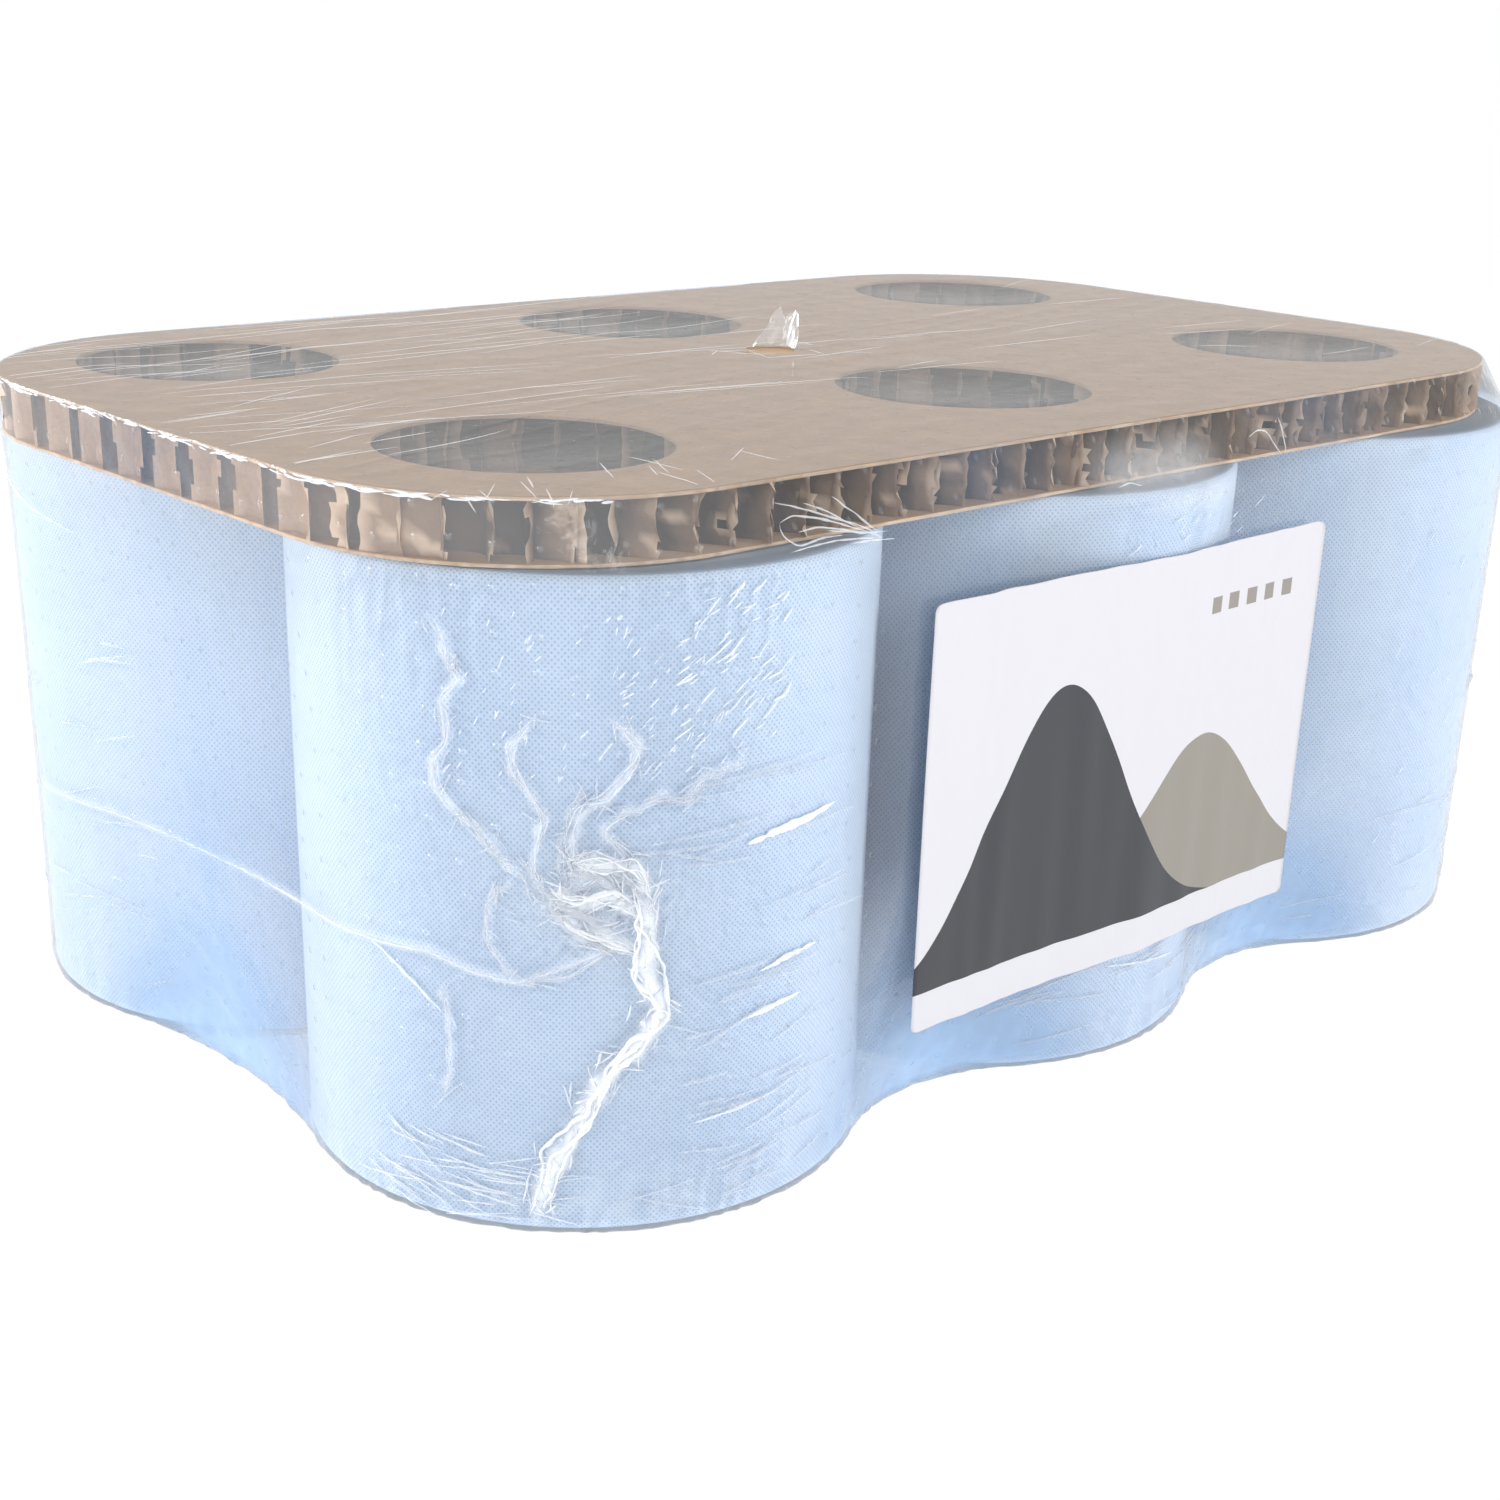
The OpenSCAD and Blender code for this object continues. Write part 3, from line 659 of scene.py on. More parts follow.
# Gathered folds on the front left roll by name: height and width in millimetres, milkiness, and course as
# angle round that roll in degrees and height above the ground in millimetres
GATHERS = {
    "main": (3.6, 3.4, 0.9, ((240, 118), (242, 107), (242, 90), (245, 76), (241, 65), (235, 55), (231, 42),
                             (227, 29), (224, 19), (223, 7))),
    "left_branch": (1.3, 1.7, 0.42, ((205, 196), (207, 190), (208, 182), (210, 179), (206, 172), (207, 165),
                                     (207, 158), (204, 154), (205, 145), (208, 139), (212, 135), (215, 129),
                                     (218, 123), (222, 118))),
    "second_branch": (1.2, 1.7, 0.42, ((223, 169), (219, 160), (219, 153), (222, 145), (224, 139),
                                       (223, 130), (222, 121), (226, 114))),
    "third_branch": (1.3, 1.8, 0.45, ((236, 169), (238, 166), (241, 159), (239, 152), (235, 144), (231, 142),
                                      (229, 132), (230, 122))),
    "short_branch": (0.9, 1.1, 0.3, ((231, 149), (229, 140), (228, 131), (227, 124), (229, 117))),
    "fourth_branch": (1.2, 1.6, 0.4, ((261, 153), (252, 149), (250, 143), (245, 145), (239, 141), (235, 135),
                                      (238, 128), (239, 123), (236, 114))),
    "upright": (0.9, 1.4, 0.35, ((205, 81), (206, 70), (206, 57), (205, 45))),
    "knot_top": (2.0, 3.0, 0.8, ((229, 125), (234, 125), (241, 123), (243, 113))),
    "knot_cross": (2.2, 3.2, 0.8, ((226, 116), (231, 113), (236, 115), (241, 110))),
    "knot_low": (2.0, 3.0, 0.75, ((227, 108), (231, 104), (236, 101), (241, 97))),
    "web_low": (1.2, 7.0, 0.32, ((224, 116), (230, 108), (237, 103))),
    "web_high": (1.2, 6.0, 0.3, ((228, 122), (235, 118), (241, 112))),
    "loop": (1.2, 1.2, 0.4, ((218, 119), (214, 110), (214, 99), (217, 91), (220, 86))),
    "strand_over": (1.1, 1.1, 0.4, ((221, 116), (227, 109), (234, 101), (236, 98))),
    "strand_under": (1.1, 1.1, 0.4, ((236, 98), (229, 89), (220, 86))),
}
# Place of the knot, in the same angle and height
KNOT = (235, 110)
# The weld seam on a short end: angle round the front roll of that end, and height
SEAM_FRONT = ((180, 90), (192, 91), (203, 92), (211, 88), (220, 86), (229, 93), (236, 98), (243, 100))
# How far the film stands off the edge of the pad, and over its top
PAD_GAP = 0.9
TOP_GAP = 0.5
# Vent hole in the top: its place and radius, and the height of its torn flap
VENT_PLACE = np.array([-12.0, 8.0])
VENT_RADIUS = 9.5
FLAP_HEIGHT = 14.2
# Each short end's front and back roll, and whether its seam is mirrored
SEAMS = ((0, 3, False), (2, 5, True))
# Painted glare on the front edge of the pad, as milky patches: middle and half size along the front and in
# height, and milkiness
GLARES = ((-10, 217, 30, 8, 0.42), (6, 206, 24, 4, 0.35))


def lengths_along(path):
    """Length from the first point of a course to each of its points"""
    return np.concatenate([[0], np.cumsum(np.linalg.norm(np.diff(path, axis=0), axis=1))])


def film_part(points, uv, milk, blue=0.0):
    """A grid of film with its map, its milkiness, which also carries painted glints, and its blueness, a
    painted reflection
    """
    zero = np.zeros(points.shape[:2])
    return {"points": points, "uv": uv, "values": {"milk": zero + milk, "blue": zero + blue}}


def line_distance(s, z, path):
    """Distance of grid points from a line through a few points, and the share of its length there"""
    best = np.full(np.broadcast(s, z).shape, 1e9)
    share = np.zeros(best.shape)
    starts = lengths_along(path)
    lengths = np.diff(starts)
    for k in range(len(lengths)):
        a = path[k]
        b = path[k + 1]
        t = np.clip(((s - a[0]) * (b[0] - a[0]) + (z - a[1]) * (b[1] - a[1])) / lengths[k] ** 2, 0, 1)
        gap = np.hypot(s - a[0] - t * (b[0] - a[0]), z - a[1] - t * (b[1] - a[1]))
        nearer = gap < best
        best = np.where(nearer, gap, best)
        share = np.where(nearer, (starts[k] + t * lengths[k]) / starts[-1], share)
    return best, share


class FilmWall:
    """The film's wall as a grid of height by station, with its lengths round the pack"""

    def __init__(self, sizes):
        start, place, half, ray = stations()
        radius = sizes.roll_diameter / MM / 2 + sizes.film_gap / MM
        self.radius = radius
        rim = sizes.rim / MM
        top = PAD_HIGH[2] + TOP_GAP
        self.z = np.concatenate([[0.0, 0.5, 1.4, 2.8], np.linspace(4.5, 204, 128),
                                 np.linspace(205.5, top - 1.2, 14), [top - 0.5, top]])
        level = self.z[:, None]
        low = np.clip(1 - level / rim, 0, 1)
        inset = rim * (1 - np.sqrt(np.maximum(1 - low ** 2, 0))) * 0.8
        # On the short ends the film hangs straighter between the two rolls
        on_end = np.abs(half - PITCH[1] / 2) < 0.01
        foot_waist = np.where(on_end, sizes.waist_end, sizes.waist_low)[None] / MM
        waist_mid = sizes.waist_mid / MM
        waist = waist_mid + (foot_waist - waist_mid) * np.clip(1 - level / 100, 0, 1) ** 1.6
        on_rolls = film_out(place[None], half[None], radius - inset, waist)
        on_pad = to_pad(start, ray, PAD_GAP, sizes)[None]
        # Where the pad stands out past the rolls, the film hangs from its edge down to half height
        hang = ROLL_FOOT + 105
        shoulder = ROLL_TOP - 0.9
        hung = np.clip((level - hang) / (PAD_LOW[2] - hang), 0, 1) ** 2.6
        out_share = np.where(level >= PAD_LOW[2], 1, hung)
        in_share = np.clip((level - shoulder) / (PAD_HIGH[2] - shoulder), 0, 1)
        share = np.where(on_pad > on_rolls, out_share, in_share)
        base = on_rolls + (on_pad - on_rolls) * share
        ring = start + ray * base[60][:, None]
        self.s = lengths_along(ring)
        self.ring = ring
        # Columns whose ray points straight forward, and their places along the front
        self.front = ray[:, 1] < -0.9999
        self.front_x = start[self.front, 0]
        self.lift, self.milk, self.blue = self.folds(place, half, level)
        tuck = np.clip((level - (top - 0.9)) / 0.9, 0, 1) ** 2 * 0.8
        reach = base + self.lift - tuck
        xy = start[None] + ray[None] * reach[..., None]
        self.points = np.concatenate([xy, np.broadcast_to(level[..., None], xy.shape[:2] + (1,))], -1)
        up = np.gradient(self.points, axis=0)
        around = np.gradient(self.points, axis=1)
        normal = np.cross(around, up)
        self.normal = normal / np.maximum(np.linalg.norm(normal, axis=-1, keepdims=True), 1e-9)

    def s_at(self, number, angle):
        """Length round the pack at an angle round a roll"""
        facing = np.radians(np.asarray(angle, dtype=float))
        point = ROLL_PLACES[number] + self.radius * np.stack([np.cos(facing), np.sin(facing)], -1)
        gap = np.linalg.norm(self.ring[None] - point.reshape(-1, 1, 2), axis=-1)
        return self.s[gap.argmin(axis=1)]

    def course(self, number, turns):
        """A course of angles and heights on a roll as lengths round the pack and heights"""
        turns = np.array(turns, dtype=float)
        return np.stack([self.s_at(number, turns[:, 0]), turns[:, 1]], -1)

    def seam_course(self, front, back, mirrored):
        """The weld seam on a short end, from the front corner to the back one"""
        ahead = np.array(SEAM_FRONT[::-1], dtype=float)
        if mirrored:
            ahead[:, 0] = 180 - ahead[:, 0]
        ahead = self.course(front, ahead)
        behind = self.course(back, [(0, 81), (-14, 80), (10, 79)] if mirrored else [(180, 81), (170, 80)])
        line = np.concatenate([ahead, behind])
        return line[np.argsort(line[:, 0])]

    def folds(self, place, half, level):
        """Outward relief and milkiness: the gathered folds as rounded ridges, the seams as beads, pleats
        that fade upwards from the ground, and slack folds in the hollows. The milkiness also paints a blue
        reflection low in the hollows, glare on the front edge of the pad and a sheen over its left end"""
        s = self.s[None] + 0 * level
        z = level + 0 * s
        lift = np.zeros(s.shape)
        milk = np.zeros(s.shape)
        crumple = 0.75 + 0.25 * waves(s, z, 7, 91)
        for height, width, white, turns in GATHERS.values():
            gap, share = line_distance(s + 0.8 * waves(s, z, 9, 92), z + 0.8 * waves(s, z, 9, 93),
                                       self.course(0, turns))
            ends = np.clip(np.minimum(share, 1 - share) * 8 + 0.25, 0, 1)
            ridge = np.exp(-(gap / width) ** 2)
            lift = np.maximum(lift, height * ridge * crumple * ends)
            milk = np.maximum(milk, white * np.exp(-(gap / (width * 0.8)) ** 2) * ends)
        for front, back, mirrored in SEAMS:
            gap, share = line_distance(s, z, self.seam_course(front, back, mirrored))
            lift = np.maximum(lift, 1.1 * np.exp(-(gap / 1.5) ** 2))
            milk = np.maximum(milk, 0.4 * np.exp(-(gap / 1.3) ** 2))
        knot = self.course(0, [KNOT])[0]
        near = np.exp(-((s - knot[0]) ** 2 + (z - knot[1]) ** 2) / 20 ** 2)
        fine = np.abs(waves(s, z, 6, 94))
        lift = lift + near * 1.3 * (1 - fine).clip(0, 1)
        milk = np.maximum(milk, near * 0.3 * (1 - fine).clip(0, 1))
        foot = np.clip(1 - z / 26, 0, 1)
        pleats = 1 - np.abs(waves(s, z * 0.25, 9, 95))
        lift = lift + foot ** 1.5 * 0.8 * pleats.clip(0, 1)
        milk = np.maximum(milk, foot * np.clip(z / 8 - 0.4, 0, 1) * 0.3 * pleats.clip(0, 1) ** 2)
        hollow = np.clip(1 - np.abs(place / half)[None] * 1.6, 0, 1)
        slack = (1 - np.abs(waves(s * 0.8 + z * 0.35, z * 0.7, 18, 96))).clip(0, 1)
        lift = lift + hollow * 0.9 * slack ** 2
        # Painted reflection: low between two rolls, and faintly all up each hollow, the film is made milky
        # and blue as if it mirrored the blue paper
        low_hollow_reflection = np.clip(1 - np.abs(place / half)[None] * 1.15, 0, 1) ** 0.6 * np.clip(1 - z / 105, 0, 1)
        blue = np.clip(low_hollow_reflection * 2.2, 0, 1)
        milk = milk + low_hollow_reflection * 0.75 * np.clip(z / 6, 0.25, 1)
        blue = np.maximum(blue, hollow * 0.9)
        milk = milk + hollow * 0.1
        under = np.clip((z - 150) / 60, 0, 1) * np.clip((212 - z) / 6, 0, 1)
        drape = (1 - np.abs(waves(s, z * 0.3, 14, 97))).clip(0, 1)
        lift = lift + under * 0.5 * drape ** 2
        # Under the label, and up to 2.5 mm past its edges, the film is smooth
        label_s = self.course(1, [(-90, 0)])[0][0] - 15
        off = np.maximum(np.abs(s - label_s) - 107.5, np.abs(z - 113) - 76)
        lift = lift * np.clip(off / 8, 0, 1)
        pad_band = np.clip((z - PAD_LOW[2]) / 3, 0, 1)
        lift = lift + pad_band * 0.35 * (waves(s, z, 13, 98) * 0.5 + 0.5).clip(0, 1)
        # Painted glare where the film bridges from the pad to the middle roll: milky patches stand for a
        # lamp's reflection
        bridge = np.interp(s, self.s[self.front], self.front_x)
        for x_mid, z_mid, x_half, z_half, white in GLARES:
            patch = np.exp(-((bridge - x_mid) / x_half) ** 4 - ((z - z_mid) / z_half) ** 2)
            milk = np.maximum(milk, white * patch * (0.9 + 0.1 * waves(s, z, 5, 99)))
        # A painted sheen over the left end of the pad: a thin white haze that lightens that end as glare
        # would
        left_end_sheen = np.clip((-170 - self.ring[:, 0]) / 70, 0, 1)[None]
        milk = np.maximum(milk, pad_band * left_end_sheen * 0.12)
        return lift, milk.clip(0, 1), blue

    def s_front(self, x):
        """Length round the pack at a place along the front wall"""
        return np.interp(x, self.front_x, self.s[self.front])

    def at(self, s, z, lift):
        """Points on the wall at lengths and heights, lifted off it along its normal"""
        column = np.interp(s, self.s, np.arange(len(self.s)))
        row = np.interp(z, self.z, np.arange(len(self.z)))
        j = np.clip(np.floor(column).astype(int), 0, len(self.s) - 2)
        i = np.clip(np.floor(row).astype(int), 0, len(self.z) - 2)
        fj = (column - j)[..., None]
        fi = (row - i)[..., None]
        values = []
        for field in (self.points, self.normal):
            low = field[i, j] * (1 - fj) + field[i, j + 1] * fj
            high = field[i + 1, j] * (1 - fj) + field[i + 1, j + 1] * fj
            values.append(low * (1 - fi) + high * fi)
        return values[0] + values[1] * np.asarray(lift)[..., None]


def film_wall_parts(wall):
    """The wall, and the sheet under the rolls as rings that shrink to one point"""
    uv = np.stack(np.broadcast_arrays(wall.s[None], wall.z[:, None]), -1)
    share = np.array([0.0, 0.3, 0.6, 0.85, 1.0])[:, None, None]
    foot = wall.points[:1] * share
    foot[..., 2] = 0.0
    # The sheet under the rolls gets the full painted blue reflection
    under = film_part(foot, foot[..., :2].copy(), 0.08, 1.0)
    return [under, film_part(wall.points, uv, wall.milk, wall.blue)]


def top_height(xy, sizes):
    """Height of the top sheet over its edge: slight creases along the pack, less a sag of
    (1 - far squared) to the 1.5 over each hole, where far is the share of the hole's radius"""
    turn = np.radians(12)
    lengthwise = xy[..., 0] * math.cos(turn) + xy[..., 1] * math.sin(turn)
    crosswise = -xy[..., 0] * math.sin(turn) + xy[..., 1] * math.cos(turn)
    sag = np.zeros(xy.shape[:-1])
    for place in hole_places():
        far = np.linalg.norm(xy - place, axis=-1) / (sizes.hole / MM / 2)
        sag += np.clip(1 - far ** 2, 0, 1) ** 1.5 * 1.4
    creases = (1 - np.abs(waves(lengthwise * 0.12, crosswise, 26, 71)) * 2.2).clip(0, 1) ** 2
    return 0.25 * creases - sag


# Fields of straight stretch lines on the top: middle and half size in plan, how many, length, direction
# in degrees and its spread, whiteness
STRETCH = (
    ((-245, 30), (28, 120), 30, 60, 8, 10, 0.22),
    ((-120, 110), (120, 50), 34, 100, 4, 5, 0.14),
    ((-150, 0), (110, 50), 18, 90, -6, 7, 0.14),
    ((-215, -150), (60, 14), 16, 22, 60, 14, 0.2),
    ((60, 0), (90, 60), 10, 60, 2, 6, 0.1),
    ((-12, 8), (26, 24), 12, 20, 40, 60, 0.2),
    ((200, 0), (70, 140), 8, 50, 0, 14, 0.1),
)


def stretch_parts(sizes):
    """Straight lines along which the top sheet is drawn tight: each a thin half ellipse across its line,
    tapered to nothing at both ends, on the height of the sheet"""
    middle, half = pad_half_sizes()
    parts = []
    for field, (centre, spread, count, length, facing, swing_out, white) in enumerate(STRETCH):
        rng = np.random.default_rng(900 + field)
        for k in range(count):
            mid = np.array(centre) + rng.uniform(-1, 1, 2) * spread
            turn = np.radians(rng.normal(facing, swing_out))
            reach = length * rng.uniform(0.5, 1.4) / 2
            along = np.linspace(-reach, reach, max(int(reach / 2), 8))
            ahead = np.array([math.cos(turn), math.sin(turn)])
            aside = np.array([-ahead[1], ahead[0]])
            bow = rng.normal(0, 0.012) * (reach - along ** 2 / reach)
            taper = np.sin(np.pi * np.linspace(0, 1, len(along))) ** 0.6
            swing = np.linspace(0, np.pi, 5)[:, None]
            width = rng.uniform(0.3, 0.7)
            line = mid + along[:, None] * ahead + bow[:, None] * aside
            xy = line[None] + (np.cos(swing) * width / 2 * taper)[..., None] * aside
            xy = np.clip(xy, middle - half + 4, middle + half - 4)
            z = PAD_HIGH[2] + TOP_GAP + top_height(xy, sizes) + 0.02 + 0.16 * np.sin(swing) * taper
            parts.append(film_part(np.concatenate([xy, z[..., None]], -1), xy.copy(), white))
    return parts


def film_top_parts(wall, sizes):
    """The top sheet as rings from the wall's upper edge in to the rim of the vent hole. It sags a little
    over the pad's holes, and the torn rim of the vent stands up as a crumpled flap on one side"""
    edge = wall.points[-1]
    inward = edge[:, :2] - VENT_PLACE
    angle = np.arctan2(inward[:, 1], inward[:, 0])
    facing = np.stack([np.cos(angle), np.sin(angle)], -1)
    rim = VENT_PLACE + VENT_RADIUS * facing
    share = np.concatenate([np.linspace(0, 0.96, 44), [0.985, 1.0]])[:, None, None]
    xy = edge[None, :, :2] * (1 - share) + rim[None] * share
    z = edge[None, :, 2] + top_height(xy, sizes) * np.clip(share[..., 0] * 12, 0, 1)
    rise = np.clip(np.cos(angle - np.radians(20)), 0, 1) ** 3
    up = np.linspace(0, 1, 12)[1:, None]
    crumple = 1 + 0.22 * np.cos(9 * angle) + 0.1 * np.cos(17 * angle + 1)
    bent = waves(angle[None] * 9, up * 16, 6, 72)
    lip_r = VENT_RADIUS + up * rise * 5.4 + bent * up * rise
    lip_z = z[-1][None] + up * (0.7 + FLAP_HEIGHT * rise * crumple.clip(0.7, 1.05)) + 0.5 * bent * rise * up
    lip = VENT_PLACE + lip_r[..., None] * facing[None]
    points = np.concatenate([np.concatenate([xy, lip]), np.concatenate([z, lip_z])[..., None]], -1)
    haze = np.concatenate([np.full(z.shape, 0.015), 0.1 + 0.15 * rise[None] * up])
    return [film_part(points, points[..., :2].copy() + 900, haze)]


def crease_part(wall, path, width, height, white, seed):
    """A small raised fold along a course on the wall: lengths every 1.2 mm, across it half an ellipse
    that tapers to nothing at both ends"""
    lengths = lengths_along(path)
    count = max(int(lengths[-1] / 1.2), 6)
    along = np.linspace(0, lengths[-1], count)
    s = np.interp(along, lengths, path[:, 0])
    z = np.interp(along, lengths, path[:, 1])
    soft = np.array([1, 2, 3, 2, 1]) / 9
    if count > 10:
        s[2:-2] = np.convolve(s, soft, "valid")
        z[2:-2] = np.convolve(z, soft, "valid")
    s = s + 0.4 * width * waves(along, 0 * along, 8, seed)
    ds = np.gradient(s)
    dz = np.gradient(z)
    pace = np.maximum(np.hypot(ds, dz), 1e-6)
    taper = np.sin(np.pi * np.linspace(0, 1, count)) ** 0.5
    thick = taper * (0.85 + 0.3 * waves(along, 0 * along, 5, seed + 1)).clip(0.4, 1.3)
    swing = np.linspace(0, np.pi, 7)[:, None]
    side = np.cos(swing) * width / 2 * thick
    lift = np.sin(swing) * height * thick + 0.05
    points = wall.at(s[None] - dz / pace * side, (z[None] + ds / pace * side).clip(0.2, PAD_HIGH[2]), lift)
    uv = np.stack([s[None] + side, z[None] + 0 * side], -1)
    return film_part(points[::-1], uv[::-1], white)


# Fields of small folds, made milky as painted glints: roll, angles from and to, heights from and to, how
# many, length, width, slope in degrees, milkiness
GLINTS = (
    (0, 248, 270, 158, 206, 60, 6.0, 0.7, 38, 0.75),
    (0, 238, 262, 150, 196, 60, 4.0, 0.7, 50, 0.5),
    (0, 240, 284, 8, 70, 26, 24.0, 1.5, 5, 0.2),
    (0, 248, 288, 60, 150, 20, 34.0, 2.0, 5, 0.16),
    (0, 190, 226, 3, 30, 46, 22.0, 0.7, -8, 0.5),
    (0, 206, 240, 150, 200, 50, 3.5, 0.8, 60, 0.45),
    (3, 150, 215, 4, 160, 22, 26.0, 1.1, 8, 0.18),
    (1, 238, 300, 190, 208, 14, 6.0, 0.7, 30, 0.4),
    (1, 232, 300, 4, 38, 22, 26.0, 1.4, 5, 0.2),
    (2, 250, 330, 30, 205, 40, 6.0, 0.6, 60, 0.4),
    (2, 232, 330, 4, 60, 18, 26.0, 1.3, 5, 0.2),
)


def scatter_parts(wall, s, z, turn, reach, width, height, white, seed):
    """Folds at given places and slopes, one for each entry of the arrays"""
    parts = []
    for k in range(len(s)):
        step = np.array([np.cos(turn[k]), np.sin(turn[k])]) * reach[k] / 2
        path = np.array([[s[k], z[k]]]) + np.linspace(-1, 1, 4)[:, None] * step
        parts.append(crease_part(wall, path, width[k], height, white, seed + k))
    return parts


def tangle_parts(wall):
    """Each gathered fold as a bundle: two thin strands that wander along it, and short strands across it
    that are scattered by seeded chance"""
    parts = []
    for number, (height, width, white, turns) in enumerate(GATHERS.values()):
        course = wall.course(0, turns)
        rng = np.random.default_rng(600 + number)
        lengths = lengths_along(course)
        for k in range(3 if width > 2 else 2):
            wander = rng.normal(0, width * 0.6, course.shape)
            wander[0] = 0
            parts.append(crease_part(wall, course + wander, width * rng.uniform(0.25, 0.5),
                                     height * 0.35 + 0.3, white, 700 + 10 * number + k))
        count = int(lengths[-1] / 2.2 * (1.8 if width > 1.8 else 0.9))
        along = rng.uniform(0, lengths[-1], count)
        s = np.interp(along, lengths, course[:, 0]) + rng.normal(0, width, count)
        z = np.interp(along, lengths, course[:, 1]) + rng.normal(0, width, count)
        ahead = np.arctan2(np.gradient(course[:, 1]), np.gradient(course[:, 0]))
        turn = np.interp(along, lengths, np.unwrap(ahead)) + rng.normal(0, 0.6, count)
        parts += scatter_parts(wall, s, z, turn, rng.uniform(4, 11, count), rng.uniform(0.4, 1.0, count),
                               height=0.6, white=white * 0.7, seed=800 + 100 * number)
    return parts


# Single bright folds on the rolls, whose milkiness is a painted highlight: roll, width in millimetres,
# milkiness, course
STREAKS = (
    (0, 3.0, 0.85, ((262, 126), (268, 128), (276, 129), (285, 131))),
    (0, 2.2, 0.8, ((265, 83), (272, 85), (280, 86))),
    (0, 2.0, 0.75, ((262, 68), (269, 70), (276, 71))),
    (0, 1.4, 0.6, ((252, 36), (262, 38), (273, 40))),
    (0, 1.2, 0.7, ((189, 90), (197, 82), (205, 72))),
    (3, 1.2, 0.4, ((150, 205), (165, 196), (182, 188), (200, 184))),
    (1, 1.2, 0.6, ((-100, 36), (-88, 33), (-76, 30))),
)


# A swirl of creases on the front edge of the pad, as places along the front wall and heights
SWIRL = (
    ((-184, 225.5), (-176, 223.5), (-164, 219.5), (-152, 215.5), (-144, 211.5)),
    ((-184, 220), (-178, 221.5), (-166, 219), (-154, 215), (-143, 211)),
    ((-184, 212.5), (-176, 213), (-164, 213), (-152, 212), (-143, 211)),
    ((-184, 220), (-185, 216), (-180, 213.5), (-170, 214.5), (-160, 214)),
    ((-178, 217), (-170, 217.5), (-160, 215.5), (-150, 213)),
    ((-172, 224), (-164, 221), (-158, 217.5), (-152, 215)),
    ((-160, 224.5), (-155, 221), (-150, 217), (-145, 213)),
    ((-158, 211.3), (-148, 211), (-138, 210)),
    ((-166, 216), (-158, 214.5), (-148, 213), (-140, 212.5)),
    ((46, 221), (52, 223), (58, 222), (61, 217), (63, 213)),
    ((66, 226), (67, 220), (66, 214)),
    ((-32, 213), (-26, 214), (-20, 212.5)),
)


def edge_parts(wall):
    """The swirl, the single folds with their painted highlights, and short folds along the upper edge of the
    pad's left end, whose milkiness paints a glare line there
    """
    parts = []
    for number, line in enumerate(SWIRL):
        line = np.array(line, dtype=float)
        line[:, 0] = wall.s_front(line[:, 0])
        parts.append(crease_part(wall, line, width=0.7, height=0.5, white=0.6, seed=1500 + number))
    for number, (roll, width, white, turns) in enumerate(STREAKS):
        course = wall.course(roll, turns)
        parts.append(crease_part(wall, course, width, height=0.4, white=white, seed=1800 + number))
    # Painted glare line: short milky folds along the upper edge of the pad's left end
    rng = np.random.default_rng(55)
    low, high = wall.s_at(3, 150), wall.s_at(0, 236)
    count = 130
    parts += scatter_parts(wall, rng.uniform(low[0], high[0], count), rng.uniform(229.6, 230.9, count),
                           rng.normal(0, 0.12, count), rng.uniform(3, 10, count),
                           rng.uniform(0.5, 1.1, count), height=0.35, white=0.8, seed=1600)
    return parts


def glint_parts(wall):
    """Small slack folds scattered by seeded chance over the fields of the wall, whose milkiness paints their
    glints
    """
    parts = []
    for field, (number, low, high, z_low, z_high, count, length, width, slope, white) in enumerate(GLINTS):
        rng = np.random.default_rng(200 + field)
        s_low, s_high = wall.s_at(number, [low, high])
        parts += scatter_parts(wall, rng.uniform(s_low, s_high, count), rng.uniform(z_low, z_high, count),
                               np.radians(slope + rng.normal(0, 11, count)),
                               length * rng.uniform(0.5, 1.4, count), width * rng.uniform(0.6, 1.3, count),
                               height=0.35, white=white, seed=300 + 100 * field)
    return parts


class TOWELPACK_OT_film(bpy.types.Operator):
    """Builds the clear shrink film with its seams, gathered folds, vent flap and glints"""
    bl_idname = "towelpack.film"
    bl_label = "Shrink film"

    def execute(self, context):
        sizes = context.scene.pack_sizes
        material = film_material(sizes, "shrunk_polyethylene_film", relief_depth=0.0011, mirror_share=0.8)
        taut = film_material(sizes, "taut_polyethylene_film", relief_depth=0.0003, mirror_share=0.55)
        wall = FilmWall(sizes)
        make_piece("film_wall", film_wall_parts(wall), material, ["shrink_film"])
        make_piece("film_top", film_top_parts(wall, sizes), taut)
        make_piece("film_stretch_lines", stretch_parts(sizes), taut)
        beads = [crease_part(wall, wall.seam_course(*seam), width=0.9, height=0.4, white=0.4, seed=450)
                 for seam in SEAMS]
        make_piece("film_gathers", tangle_parts(wall) + beads, material)
        make_piece("film_glints", glint_parts(wall) + edge_parts(wall), material)
        return {"FINISHED"}


# Label

